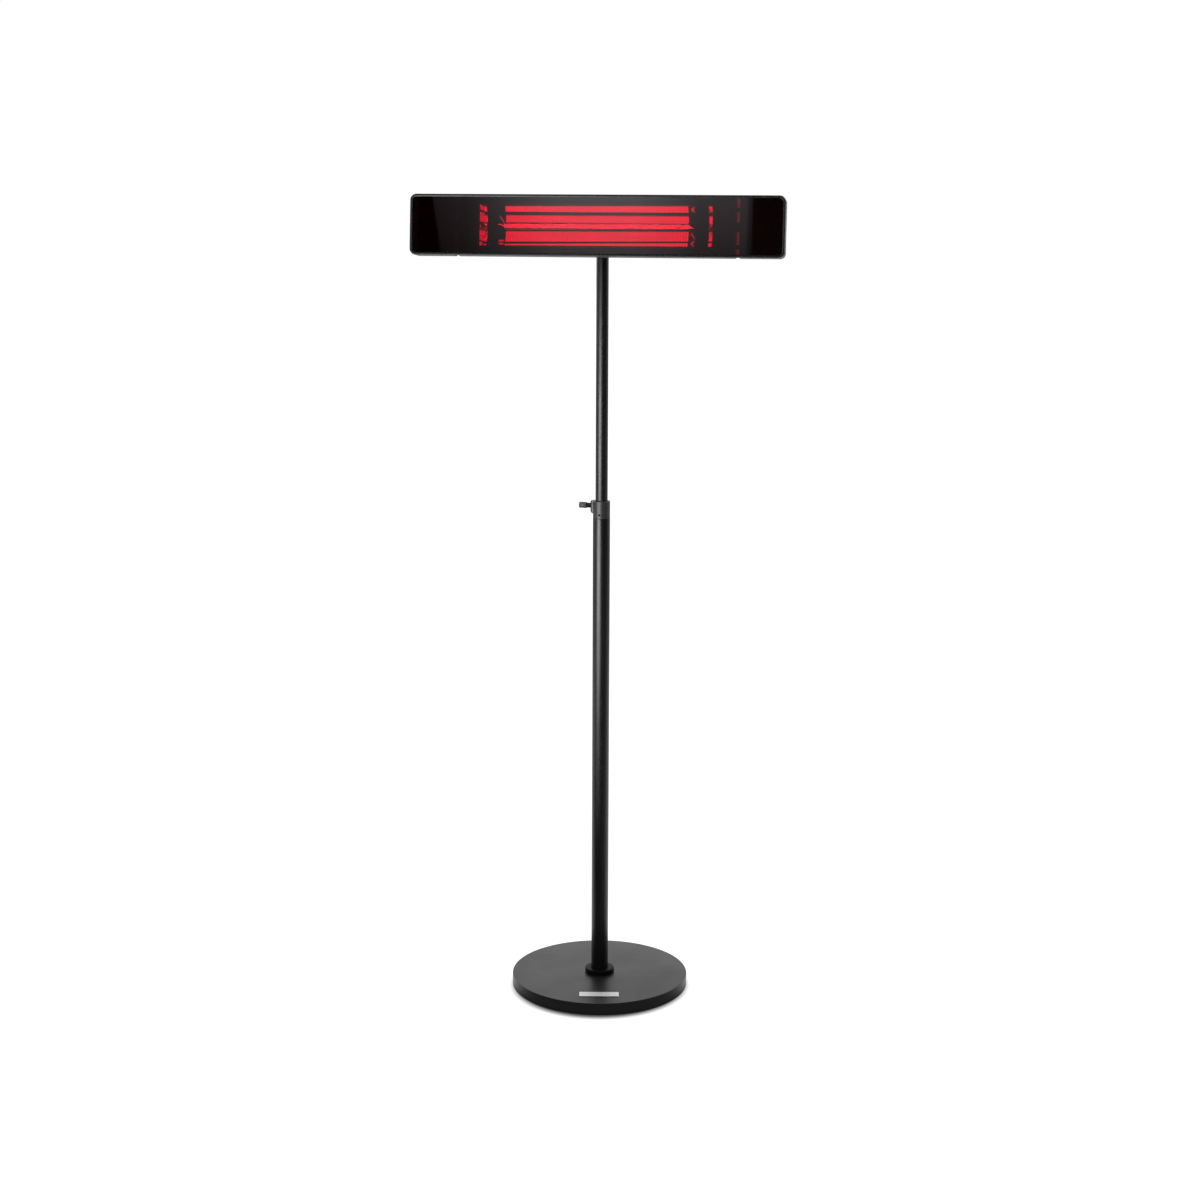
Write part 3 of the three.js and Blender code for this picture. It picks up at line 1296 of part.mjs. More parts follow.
const lampMiddle = [0, LAMP_Y, 0];
const lampTube = pipe(lampRadius, lampRadius - LAMP_WALL, -lampHalf, lampHalf, ROUND_SIDES, 'x');
place(head, 'lamp_tube', lampTube, quartz, lampMiddle);
place(head, 'filament', sweep(filament, FILAMENT_WIRE, 5), glowing, lampMiddle);
place(head, 'lamp_base_left', mirrored(lampBase()), ceramic, lampMiddle);
place(head, 'lamp_base_right', lampBase(), ceramic, lampMiddle);
place(head, 'lamp_holder_left', mirrored(lampHolder()), steel, lampMiddle);
place(head, 'lamp_holder_right', lampHolder(), steel, lampMiddle);
place(head, 'lead_wire_left', leftLead(), siliconeWire);
place(head, 'lead_wire_right', rightLead(), siliconeWire);
place(head, 'terminal_block', terminalBlock(), ceramic);
place(head, 'gland_body', glandBody(), blackPlastic);
place(head, 'gland_nut', glandNut(), blackPlastic);

place(head, 'tilt_bracket', tiltBracket(), blackPowderCoat);
const boltNames = ['upper_left', 'upper_right', 'lower_left', 'lower_right'];
boltPlaces().forEach(([x, z], i) => {
  place(head, `bracket_bolt_${boltNames[i]}`, bracketBolt(), steel, [x, 0, z]);
});
place(head, 'slot_nut_upper', slotNut(), steel, [0, 0, trackZ]);
place(head, 'slot_nut_lower', slotNut(), steel, [0, 0, -trackZ]);

export default heater;
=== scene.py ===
# Infrared patio heater on a telescopic pole: materials, fine detail, studio and camera.
# Metres, +Z up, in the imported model's frame. Lengths written in millimetres are scaled by MM.

import math

import bmesh
import bpy
from mathutils import Matrix, Vector


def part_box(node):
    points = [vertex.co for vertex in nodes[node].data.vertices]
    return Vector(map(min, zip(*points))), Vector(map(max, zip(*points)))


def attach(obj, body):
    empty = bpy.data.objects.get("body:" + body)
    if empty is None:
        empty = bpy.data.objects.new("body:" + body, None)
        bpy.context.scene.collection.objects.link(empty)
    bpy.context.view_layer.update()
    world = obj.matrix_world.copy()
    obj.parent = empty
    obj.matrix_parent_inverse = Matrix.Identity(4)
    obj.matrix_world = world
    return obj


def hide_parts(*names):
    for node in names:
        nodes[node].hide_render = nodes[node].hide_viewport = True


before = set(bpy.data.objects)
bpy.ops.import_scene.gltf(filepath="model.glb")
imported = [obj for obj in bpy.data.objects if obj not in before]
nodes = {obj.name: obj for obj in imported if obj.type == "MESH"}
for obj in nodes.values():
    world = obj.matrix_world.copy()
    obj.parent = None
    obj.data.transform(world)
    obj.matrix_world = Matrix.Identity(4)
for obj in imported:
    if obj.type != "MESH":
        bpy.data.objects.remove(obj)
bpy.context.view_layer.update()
scene = bpy.context.scene
scene.view_settings.view_transform = "Standard"

MM = 0.001

# ---------------------------------------------------------------- where things are

TUBE_BOTTOM, TUBE_TOP = 32.3, 1274.3
MAST_BOTTOM, MAST_TOP = 934.3, 1964.3
KNOB_TURN = -8.5  # degrees that the collar's boss and knob are turned about the pole
KNOB_RISE, GRUB_RISE = 32.5, 10.5  # axes of the clamp knob and the grub screw above the tube's top
PIVOT_SHIFT = (0, -38, 24)  # mast's top to the pivot's axis
HEAD_TILT = -6  # degrees
FACE_DROP = (0.0, -90.8, 37.0)  # pivot to the middle of the bezel's face, before tilting
LAMP_DEPTH = 28.5  # lamp's axis behind the bezel's face

FLOOR = Matrix.Scale(MM, 4)
POLE = Matrix.Translation((0, 0, TUBE_TOP * MM)) @ Matrix.Rotation(math.radians(KNOB_TURN), 4, "Z") @ FLOOR
CLAMP = POLE @ Matrix.Translation((0, 0, KNOB_RISE))
TUBE = Matrix.Translation((0, 0, TUBE_BOTTOM * MM)) @ FLOOR
MAST = Matrix.Translation((0, 0, MAST_BOTTOM * MM)) @ FLOOR
PIVOT = Matrix.Translation((0, 0, MAST_TOP * MM)) @ FLOOR @ Matrix.Translation(PIVOT_SHIFT)
HEAD_TURN = Matrix.Rotation(math.radians(HEAD_TILT), 4, "X")
HEAD = PIVOT @ HEAD_TURN @ Matrix.Translation(FACE_DROP)
LAMP = HEAD @ Matrix.Translation((0, LAMP_DEPTH, 0))

# ---------------------------------------------------------------- camera

CAMERA_TURN = 9.0796  # degrees, from the front towards the right
PHOTO_WIDTH = 1200


def make_camera():
    """The photograph's view: pitched down from head height, with a small vertical shift."""
    distance, azimuth, height = 5.4334, math.radians(CAMERA_TURN), 2.1259
    pitch, roll = math.radians(9.1789), math.radians(0.2457)
    focal, shift_x = 2101.128, -1.4682  # in the photograph's pixels
    level = Vector((-math.sin(azimuth), math.cos(azimuth), 0))
    up = Vector((0, 0, 1))
    side = level.cross(up)
    ahead = level * math.cos(pitch) - up * math.sin(pitch)
    raised = up * math.cos(pitch) + level * math.sin(pitch)
    right = side * math.cos(roll) + raised * math.sin(roll)
    above = raised * math.cos(roll) - side * math.sin(roll)
    data = bpy.data.cameras.new("camera")
    data.sensor_width = 36
    data.lens = 36 * focal / PHOTO_WIDTH
    data.shift_x = shift_x / PHOTO_WIDTH
    data.shift_y = -0.06
    data.clip_end = 200
    camera = bpy.data.objects.new("camera", data)
    turn = Matrix((right, above, -ahead)).transposed().to_4x4()
    place = Vector((distance * math.sin(azimuth), -distance * math.cos(azimuth), height))
    camera.matrix_world = Matrix.Translation(place) @ turn
    scene.collection.objects.link(camera)
    scene.camera = camera


make_camera()

# ---------------------------------------------------------------- node materials


class Graph:
    """Shader nodes built by short calls; every call but node gives back a socket."""

    def __init__(self, tree):
        self.tree = tree
        tree.nodes.clear()

    def feed(self, socket, value):
        """Links a socket, or sets another socket's constant."""
        if isinstance(value, bpy.types.NodeSocket):
            self.tree.links.new(value, socket)
        else:
            socket.default_value = value

    def node(self, kind, inputs=None, **settings):
        """A node from its inputs, sockets or constants, and its settings."""
        made = self.tree.nodes.new("ShaderNode" + kind)
        for name, value in settings.items():
            setattr(made, name, value)
        for name, value in (inputs or {}).items():
            self.feed(made.inputs[name], value)
        return made

    def math(self, operation, a, b=0.0, clamp=False):
        return self.node("Math", {0: a, 1: b}, operation=operation, use_clamp=clamp).outputs[0]

    def vector(self, operation, a, b=(0, 0, 0), output="Vector"):
        return self.node("VectorMath", {0: a, 1: b}, operation=operation).outputs[output]

    def span(self, value, low, high, to_low=0.0, to_high=1.0, smooth=False):
        """Maps low..high to to_low..to_high, and holds both ends."""
        inputs = {"Value": value, "From Min": low, "From Max": high, "To Min": to_low, "To Max": to_high}
        kind = "SMOOTHSTEP" if smooth else "LINEAR"
        return self.node("MapRange", inputs, interpolation_type=kind).outputs[0]


class Recipe(Graph):
    """A Principled material built up from textures fixed to the object."""

    def __init__(self, name, colour, roughness, metallic=0.0):
        self.material = bpy.data.materials.new(name)
        self.material.use_nodes = True
        super().__init__(self.material.node_tree)
        self.shader = self.node("BsdfPrincipled")
        self.node("OutputMaterial", {"Surface": self.shader.outputs[0]})
        self.place = self.node("TexCoord").outputs["Object"]
        self.set("Base Color", (*colour, 1))
        self.set("Roughness", roughness)
        self.set("Metallic", metallic)

    def set(self, name, value):
        self.feed(self.shader.inputs[name], value)

    def noise(self, scale, detail, stretch=(1, 1, 1)):
        """Noise fixed to the object, its features longest along the axis with the smallest stretch."""
        spread = self.node("Mapping", {"Vector": self.place, "Scale": stretch})
        inputs = {"Vector": spread.outputs[0], "Scale": scale, "Detail": detail}
        return self.node("TexNoise", inputs).outputs["Fac"]

    def blend(self, fac, a, b):
        """Colour between two constants."""
        return self.node("Mix", {"Factor": fac, 6: (*a, 1), 7: (*b, 1)}, data_type="RGBA").outputs[2]

    def bump(self, height, depth, strength):
        """Adds a bump on top of the ones already there."""
        inputs = {"Height": height, "Distance": depth, "Strength": strength}
        if self.shader.inputs["Normal"].is_linked:
            inputs["Normal"] = self.shader.inputs["Normal"].links[0].from_socket
        self.set("Normal", self.node("Bump", inputs).outputs[0])

    def shine(self, colour, strength):
        """Gives off light; it isn't sampled as a lamp, which would only add noise."""
        self.set("Emission Color", (*colour, 1))
        self.set("Emission Strength", strength)
        self.material.cycles.emission_sampling = "NONE"


def shades(colour, darker, lighter, added=0.002):
    """A darker and a lighter form of a colour."""
    return tuple(c * darker for c in colour), tuple(min(c * lighter + added, 1) for c in colour)


def powder_coat(name, colour, roughness, grain):
    """Baked powder paint: a fine orange-peel skin with faint cloudy changes of gloss."""
    made = Recipe(name, colour, roughness)
    cloud = made.noise(9, 3)
    fleck = made.noise(1800, 1)
    shade = made.math("ADD", made.math("MULTIPLY", cloud, 0.5), made.math("MULTIPLY", fleck, 0.5))
    made.set("Base Color", made.blend(shade, *shades(colour, 0.7, 1.45)))
    made.set("Roughness", made.span(cloud, 0.3, 0.7, roughness - 0.04, roughness + 0.05))
    made.bump(made.noise(700, 2), grain * MM, 0.5)
    made.bump(made.noise(2600, 1), grain * 0.4 * MM, 0.35)
    return made.material


def drawn_metal(name, colour, roughness, stretch):
    """Extruded, rolled or brushed metal: long fine lines along one axis."""
    made = Recipe(name, colour, roughness, 1.0)
    lines = made.noise(900, 3, stretch)
    cloud = made.noise(7, 2)
    made.set("Base Color", made.blend(lines, *shades(colour, 0.82, 1.2)))
    mixed = made.math("ADD", made.math("MULTIPLY", lines, 0.6), made.math("MULTIPLY", cloud, 0.4))
    made.set("Roughness", made.span(mixed, 0.3, 0.7, roughness - 0.07, roughness + 0.08))
    made.bump(lines, 0.02 * MM, 0.25)
    return made.material


def moulded(name, colour, roughness, grain=0.05, scale=1100):
    """Moulded plastic or rubber with a spark-eroded skin."""
    made = Recipe(name, colour, roughness)
    pores = made.noise(scale, 2)
    cloud = made.noise(25, 2)
    made.set("Base Color", made.blend(cloud, *shades(colour, 0.85, 1.18, 0.003)))
    made.set("Roughness", made.span(pores, 0.3, 0.7, roughness - 0.06, roughness + 0.06))
    made.bump(pores, grain * MM, 0.5)
    return made.material


def cast(name, colour, roughness, metallic):
    """Rough castings: coarse sand texture and uneven tone."""
    made = Recipe(name, colour, roughness, metallic)
    coarse = made.noise(260, 4)
    made.set("Base Color", made.blend(coarse, *shades(colour, 0.7, 1.3)))
    made.bump(coarse, 0.25 * MM, 0.5)
    return made.material


def head_axes(made):
    """Coordinates from the middle of the bezel's face, in millimetres: x along, y in, z up."""
    turned = made.node("Mapping", {
        "Vector": made.place,
        "Location": HEAD.to_translation(),
        "Rotation": HEAD_TURN.to_euler(),
        "Scale": (MM, MM, MM),
    }, vector_type="TEXTURE")
    return made.node("SeparateXYZ", {"Vector": turned.outputs[0]}).outputs[:3]


def step_up_down(made, rising, falling, low, high, soft_low, soft_high):
    """A soft step up of one value at low, times a soft step down of another at high."""
    rise = made.span(rising, low - soft_low, low + soft_low, smooth=True)
    fall = made.span(falling, high - soft_high, high + soft_high, 1, 0, smooth=True)
    return made.math("MULTIPLY", rise, fall)


def band(made, value, low, high, soft_low, soft_high):
    """1 where a value lies from low to high, fading at both ends."""
    return step_up_down(made, value, value, low, high, soft_low, soft_high)


def total(made, parts):
    """Sum of several sockets."""
    result = parts[0]
    for part in parts[1:]:
        result = made.math("ADD", result, part)
    return result


GLOW = (1.0, 0.16, 0.72)  # seen through the red glass
GLOW_STRENGTH = 19.5
RIPPLE_PITCH = 6.7  # a ripple for every two curls of the filament
FILAMENT_HALF = 237.0
CURL_RADIUS = 4.6
# Painted reflections of the lamp in the trough: lower and upper edge, each with its slope along the trough and
# its softness, then the teeth of the upper edge and the level.
PAINTED_LAMP_IMAGES = [
    (36.3, 0.000, 0.8, 49.8, 0.004, 1.5, 0.3, 0.97),
    (10.2, 0.000, 0.8, 27.4, 0.000, 1.9, 1.2, 1.0),
    (1.0, 0.000, 0.8, 9.2, 0.003, 0.6, 0.0, 1.0),
    (-7.0, 0.004, 0.8, -2.0, 0.000, 1.0, 0.0, 0.5),
    (-37.2, 0.009, 0.8, -11.8, 0.004, 1.2, 1.0, 0.92),
    (-48.7, 0.001, 0.8, -42.6, 0.012, 0.8, 0.6, 0.97),
]
# Painted reflections of the bent leads: x and z at both ends.
PAINTED_LEAD_IMAGES = [
    (-251, 25, -240, 9), (-253, -37, -239, -37), (-250, -45, -239, -45),
    (239, 43, 246, 48), (239, 43, 246, 38), (238, -14, 247, -28), (239, -41, 246, -35), (239, -41, 246, -47),
]


def seen_once(made):
    """Keeps the glow out of further mirrored bounces, which the painted reflections already stand for."""
    path = made.node("LightPath").outputs
    bounces = made.math("ADD", path["Glossy Depth"], path["Diffuse Depth"])
    return made.span(bounces, 0, 1, 1.0, 0.06)


def ripples(made, along):
    """Wave from -1 to 1 by the filament's curls."""
    return made.math("SINE", made.math("MULTIPLY", along, 2 * math.pi / RIPPLE_PITCH))


def drawn_light(made, level, strength):
    """Finishes a material with the lamp's glow: painted reflections on the reflectors, the wire's own glow on the
    filament.
    """
    level = made.math("MULTIPLY", level, seen_once(made))
    made.shine(GLOW, made.math("MULTIPLY", level, strength))
    return made.material


def streak(made, x, z, x0, z0, x1, z1):
    """Thin line of painted reflected light from one point to another."""
    line = made.span(x, x0, x1, z0, z1)
    off = made.math("ABSOLUTE", made.math("SUBTRACT", z, line))
    near = made.span(off, 0.6, 3.4, 0.6, 0, smooth=True)
    return made.math("MULTIPLY", near, band(made, x, x0, x1, 0.8, 0.8))


def rolled_mirror(name, colour, stretch):
    """Bright rolled aluminium with faint lines."""
    made = Recipe(name, colour, 0.3, 1.0)
    lines = made.noise(900, 3, stretch)
    made.set("Roughness", made.span(lines, 0.3, 0.7, 0.24, 0.36))
    made.bump(lines, 0.02 * MM, 0.2)
    return made


def mirror_trough():
    """The trough, with the lamp's mirrored images painted on it as glow: painted reflections, rippled by the
    filament's curls.
    """
    made = rolled_mirror("reflector_aluminium", (0.4, 0.41, 0.43), (0.02, 1, 1))
    x, _, z = head_axes(made)
    slant = made.math("MULTIPLY", made.math("ABSOLUTE", z), 0.03)
    wander = made.span(made.noise(11, 1, (1, 1, 5)), 0.3, 0.7, -0.4, 0.4)
    wave = ripples(made, total(made, [x, slant, wander]))
    rows = []
    for low, low_slope, soft_low, high, high_slope, soft_high, teeth, level in PAINTED_LAMP_IMAGES:
        jagged = made.math("ADD", z, made.math("MULTIPLY", wave, teeth))
        above = made.math("SUBTRACT", z, made.math("MULTIPLY", x, low_slope))
        below = made.math("SUBTRACT", jagged, made.math("MULTIPLY", x, high_slope))
        lit = step_up_down(made, above, below, low, high, soft_low, soft_high)
        rows.append(made.math("MULTIPLY", lit, level))
    middle = made.math("MULTIPLY", band(made, x, -235, 231, 1.4, 1.4), made.span(wave, -1, 1, 0.66, 1.1))
    sides = made.math("ADD", band(made, x, -291, -283.5, 1.0, 1.4), band(made, x, 283, 291, 1.0, 1.4))
    broken = made.span(made.noise(110, 2), 0.4, 0.56, 0.35, 1.0)
    run = made.math("ADD", middle, made.math("MULTIPLY", sides, broken))
    cloud = made.span(made.noise(26, 2, (0.35, 1, 2)), 0.35, 0.65, 0.92, 1.05)
    level = made.math("MULTIPLY", made.math("MULTIPLY", total(made, rows), run), cloud)
    bent = total(made, [streak(made, x, z, *lead) for lead in PAINTED_LEAD_IMAGES])
    return drawn_light(made, made.math("ADD", level, bent), GLOW_STRENGTH)


def mirror_end():
    """The flared end plates, with the lamp's end painted on them as broken patches of reflected light."""
    made = rolled_mirror("reflector_end_aluminium", (0.4, 0.41, 0.42), (1, 1, 0.02))
    x, _, z = head_axes(made)
    bands = [(39.0, 51.0, 0.95), (9.0, 33.0, 0.85), (-9.0, 4.0, 0.3), (-38.0, -12.0, 0.9), (-51.0, -42.0, 0.9)]
    rows = [made.math("MULTIPLY", band(made, z, low, high, 1.6, 1.6), level) for low, high, level in bands]
    patch_breakup = made.span(made.noise(150, 3), 0.42, 0.56, 0.4, 1.0)
    sides = made.math("ADD", band(made, x, -298.5, -270, 0.8, 1.0), band(made, x, 280, 292.5, 1.0, 0.8))
    level = made.math("MULTIPLY", total(made, rows), made.math("MULTIPLY", patch_breakup, sides))
    return drawn_light(made, level, GLOW_STRENGTH * 0.9)


def lamp_glow():
    """The hot wire, with changes of heat along it."""
    made = Recipe("glowing_wire", (0.9, 0.5, 0.4), 0.6)
    heat = made.span(made.noise(60, 2), 0.3, 0.7, 1.3, 1.5)
    wave = ripples(made, head_axes(made)[0])
    return drawn_light(made, made.math("MULTIPLY", heat, made.span(wave, -1, 1, 0.75, 1.08)), GLOW_STRENGTH)


def dark_red_glass():
    """Black-looking glass ceramic that only lets deep red through."""
    made = Recipe("dark_glass", (0.05, 0.0004, 0.002), 0.02)
    made.set("Transmission Weight", 1.0)
    made.set("IOR", 1.5)
    made.set("Roughness", made.span(made.noise(5, 2), 0.3, 0.7, 0.012, 0.03))
    made.bump(made.noise(22, 1), 0.05 * MM, 0.06)
    return made.material


def clear_quartz():
    """Fused quartz of the lamp's tube."""
    made = Recipe("quartz", (0.97, 0.95, 0.94), 0.02)
    made.set("Transmission Weight", 1.0)
    made.set("IOR", 1.46)
    made.set("Roughness", made.span(made.noise(40, 2), 0.3, 0.7, 0.015, 0.05))
    return made.material


FINISHES = {
    "black_powder_coat": powder_coat("black_powder_coat", (0.0028, 0.0028, 0.003), 0.36, 0.05),
    "collar_grey": moulded("collar_grey", (0.026, 0.026, 0.027), 0.42, 0.04),
    "black_plastic": moulded("black_plastic", (0.008, 0.008, 0.0085), 0.45, 0.05),
    "grey_plastic": moulded("grey_plastic", (0.07, 0.07, 0.072), 0.65, 0.05),
    "white_nylon": moulded("white_nylon", (0.72, 0.71, 0.66), 0.45, 0.03),
    "black_rubber": moulded("black_rubber", (0.012, 0.012, 0.012), 0.8, 0.12, 700),
    "cast_iron": cast("cast_iron", (0.045, 0.045, 0.048), 0.75, 0.6),
    "steel": drawn_metal("steel", (0.62, 0.62, 0.63), 0.3, (1, 1, 0.05)),
    "plated_metal": drawn_metal("plated_metal", (0.8, 0.8, 0.81), 0.5, (0.03, 1, 1)),
    "black_aluminium": powder_coat("black_aluminium", (0.0045, 0.0045, 0.0048), 0.28, 0.03),
    "reflector_aluminium": mirror_trough(),
    "dark_glass": dark_red_glass(),
    "quartz": clear_quartz(),
    "glowing_wire": lamp_glow(),
    "white_ceramic": moulded("white_ceramic", (0.76, 0.73, 0.66), 0.62, 0.08, 900),
    "silicone": moulded("silicone", (0.3, 0.02, 0.015), 0.55, 0.04),
    "fibre": moulded("fibre", (0.5, 0.48, 0.44), 0.95, 0.4, 500),
}
MIRROR_END = mirror_end()
STAINLESS = drawn_metal("stainless", (0.5, 0.5, 0.51), 0.28, (1, 1, 0.05))


def dulled(material, level):
    """Makes a material gleam less without making it rougher."""
    material.node_tree.nodes["Principled BSDF"].inputs["Specular IOR Level"].default_value = level
    return material


BLACKENED = dulled(moulded("blackened_steel", (0.0012, 0.0012, 0.0012), 0.7, 0.02), 0.05)
KNOB_NECK = dulled(moulded("knob_neck", (0.004, 0.004, 0.0042), 0.7, 0.04), 0.2)
# The flange's coat is the pole's black powder coat made darker and duller: painted shade at the pole's foot.
FLANGE_PAINTED_SHADE = dulled(powder_coat("flange_coat_painted_shade", (0.0018, 0.0018, 0.002), 0.42, 0.05), 0.08)
HOUSING = dulled(powder_coat("housing_coat", (0.0036, 0.0036, 0.0038), 0.42, 0.06), 0.45)
FORK = dulled(powder_coat("fork_coat", (0.0028, 0.0028, 0.003), 0.5, 0.06), 0.12)
OWN_FINISH = {
    "reflector_end_left": MIRROR_END, "reflector_end_right": MIRROR_END,
    "centre_housing": HOUSING, "end_cap_left": HOUSING, "end_cap_right": HOUSING,
    "duct_left": HOUSING, "duct_right": HOUSING, "mast_head": FORK,
}

for name, node in nodes.items():
    slot = node.data.materials[0].name.split(".")[0]
    node.data.materials[0] = OWN_FINISH.get(name) or FINISHES[slot]

# ---------------------------------------------------------------- mesh tools


def piece(name, bm, place, slot, body, stands_for=(), smooth=35, finish=None):
    """Turns mesh code in millimetres into a piece that rides on a body, shaded smoothly below an angle."""
    bmesh.ops.remove_doubles(bm, verts=bm.verts, dist=0.002)
    bmesh.ops.dissolve_degenerate(bm, edges=bm.edges, dist=0.0005)
    bmesh.ops.recalc_face_normals(bm, faces=bm.faces)
    bm.transform(place)
    mesh = bpy.data.meshes.new(name)
    bm.to_mesh(mesh)
    bm.free()
    mesh.materials.append(finish or FINISHES[slot])
    mesh.shade_smooth()
    mesh.set_sharp_from_angle(angle=math.radians(smooth))
    made = bpy.data.objects.new(name, mesh)
    scene.collection.objects.link(made)
    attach(made, body)
    if stands_for:
        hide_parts(*stands_for)


# For each axis: the coordinates that two numbers across it set, then the one along it.
AXES = {"x": (1, 2, 0), "y": (0, 2, 1), "z": (0, 1, 2)}


def point(axis, a, b, along):
    """A point whose first two numbers are across the axis and the third along it."""
    out = [0.0, 0.0, 0.0]
    for slot, value in zip(AXES[axis], (a, b, along)):
        out[slot] = value
    return out


def arc(cx, cy, radius, start, end, steps):
    """Points of a round from one angle to another, in degrees."""
    turns = [math.radians(start + (end - start) * i / steps) for i in range(steps + 1)]
    return [(cx + radius * math.cos(angle), cy + radius * math.sin(angle)) for angle in turns]


def circle(radius, steps, cx=0.0, cy=0.0):
    """Points of a full circle, the first one not repeated."""
    turns = [2 * math.pi * i / steps for i in range(steps)]
    return [(cx + radius * math.cos(angle), cy + radius * math.sin(angle)) for angle in turns]


def socket(corner, steps, cx=0.0, cy=0.0):
    """A hexagon's outline at even angles, so that it joins a circle with as many steps."""
    out = []
    for i in range(steps):
        angle = 2 * math.pi * i / steps
        off_flat = (angle + math.pi / 6) % (math.pi / 3) - math.pi / 6
        radius = corner * math.cos(math.pi / 6) / math.cos(off_flat)
        out.append((cx + radius * math.cos(angle), cy + radius * math.sin(angle)))
    return out


def rounded_rectangle(width, height, radius, steps):
    """Outline about the origin, with this many steps in each corner."""
    x, y = width / 2 - radius, height / 2 - radius
    return (arc(x, y, radius, 0, 90, steps) + arc(-x, y, radius, 90, 180, steps)
            + arc(-x, -y, radius, 180, 270, steps) + arc(x, -y, radius, 270, 360, steps))


def rounded_ends(radius, start, end, edge):
    """Outline of a solid round bar with softened rims."""
    return ([(0, start)] + arc(radius - edge, start + edge, edge, -90, 0, 3)
            + arc(radius - edge, end - edge, edge, 0, 90, 3) + [(0, end)])


def stitch(bm, loop, following):
    """Faces between two loops of equally many vertices."""
    for s in range(len(loop)):
        t = (s + 1) % len(loop)
        bm.faces.new((loop[s], loop[t], following[t], following[s]))


def turn_outline(bm, outline, segments, axis="z", centre=(0, 0, 0), wobble=None):
    """Revolves a closed outline of (radius, height) points; wobble changes a radius by its angle."""
    rings = []
    for radius, height in outline:
        ring = []
        for s in range(segments):
            angle = 2 * math.pi * s / segments
            r = wobble(radius, height, angle) if wobble else radius
            spot = Vector(point(axis, r * math.cos(angle), r * math.sin(angle), height)) + Vector(centre)
            ring.append(bm.verts.new(spot))
        rings.append(ring)
    for ring, following in zip(rings, rings[1:] + rings[:1]):
        stitch(bm, ring, following)
    return bm


def join_outlines(bm, outlines, axis, capped=False):
    """Joins outlines [(points, along), ...] of equally many points, in a ring or with a flat cap at each end."""
    loops = [[bm.verts.new(point(axis, a, b, along)) for a, b in points] for points, along in outlines]
    for loop, following in zip(loops, loops[1:]):
        stitch(bm, loop, following)
    if capped:
        bm.faces.new(loops[0])
        bm.faces.new(loops[-1])
    else:
        stitch(bm, loops[-1], loops[0])
    return bm

# ---------------------------------------------------------------- base


def base_cover():
    """Spun steel cover: a flat top with a drawn edge, a fine groove inside the rim and a skirt."""
    outline = [(6.5, 30.5)]
    outline += arc(232.9, 29.9, 0.6, 90, 0, 6)
    outline += [(233.5, 1.9), (233.8, 1.5), (234.7, 1.5), (235, 1.9)]
    outline += arc(233.2, 30.2, 1.8, 0, 90, 10)
    outline += [(6.5, 32)]
    bm = turn_outline(bmesh.new(), outline, 192)
    piece("spun_cover", bm, FLOOR, "black_powder_coat", "stand", ["base_cover"])


def pole_flange():
    """Ring round the pole's foot with a rounded shoulder."""
    outline = [(22.8, 32.4), (38.6, 32.3), (39, 32.7)]
    outline += arc(36, 41.3, 3, 0, 90, 8)
    outline += [(23.5, 44.3), (22.8, 43.6)]
    bm = turn_outline(bmesh.new(), outline, 96)
    piece("foot_flange", bm, FLOOR, "black_powder_coat", "stand", ["pole_flange"], finish=FLANGE_PAINTED_SHADE)


base_cover()
pole_flange()

# ---------------------------------------------------------------- pole


def tube(name, outer, inner, length, place, body, node):
    """A pole tube from its radii and length, with softened rims."""
    edge = 0.35
    outline = [(inner, 0)] + arc(outer - edge, edge, edge, -90, 0, 3)
    outline += arc(outer - edge, length - edge, edge, 0, 90, 3) + [(inner, length)]
    bm = turn_outline(bmesh.new(), outline, 96)
    piece(name, bm, place, "black_powder_coat", body, [node])


tube("lower_tube", 22.5, 21, TUBE_TOP - TUBE_BOTTOM, TUBE, "stand", "outer_tube")
tube("upper_tube", 16, 14.5, MAST_TOP - MAST_BOTTOM, MAST, "mast", "mast_tube")


def clamp_knob():
    """Thumb knob: a black neck and a grip with rounded ribs."""
    ribs, rib_depth, rib_foot, grip_start = 16, 0.3, 7.2, -41.2

    def wobble(radius, height, angle):
        if radius < rib_foot or height > grip_start:
            return radius
        groove = 0.5 + 0.5 * math.cos(ribs * angle)
        return radius - rib_depth * groove * min(1, (radius - rib_foot) / 0.6)

    outline = [(4.3, -40.9), (6.4, -41.0), (7.5, -41.05), (7.85, grip_start), (8, -41.55), (8, -43.5), (8, -56)]
    outline += [(8, -59.5), (7.88, -59.85), (7.6, -60.05), (6.4, -60.1), (5.6, -59.8), (0, -59.7), (0, -53)]
    outline += [(4.3, -53)]
    bm = turn_outline(bmesh.new(), outline, 128, "x", wobble=wobble)
    piece("thumb_knob", bm, CLAMP, "grey_plastic", "clamp_grip", ["clamp_knob"])
    neck = [(4.3, -29.1), (6.1, -29.1), (6.4, -29.4), (6.4, -40.5), (6.1, -40.8), (4.3, -40.8)]
    bm = turn_outline(bmesh.new(), neck, 64, "x")
    piece("thumb_knob_neck", bm, CLAMP, "black_plastic", "clamp_grip", finish=KNOB_NECK)


def collar_screw():
    """Grub screw with a hexagon socket."""
    steps, radius, edge, hole = 24, 2.5, 0.3, 1.45
    back, bottom, face = -18.4, -18.9, -19.9
    loops = [
        (circle(radius, steps), back), (circle(radius, steps), face + edge), (circle(radius - edge, steps), face),
        (socket(hole, steps), face), (socket(hole * 0.97, steps), bottom), (circle(0.05, steps), bottom + 0.1),
        (circle(0.05, steps), back),
    ]
    bm = join_outlines(bmesh.new(), loops, "y")
    place = POLE @ Matrix.Translation((0, 0, GRUB_RISE))
    piece("grub_screw", bm, place, "black_aluminium", "stand", ["collar_screw"], finish=BLACKENED)


clamp_knob()
collar_screw()

# ---------------------------------------------------------------- pivot


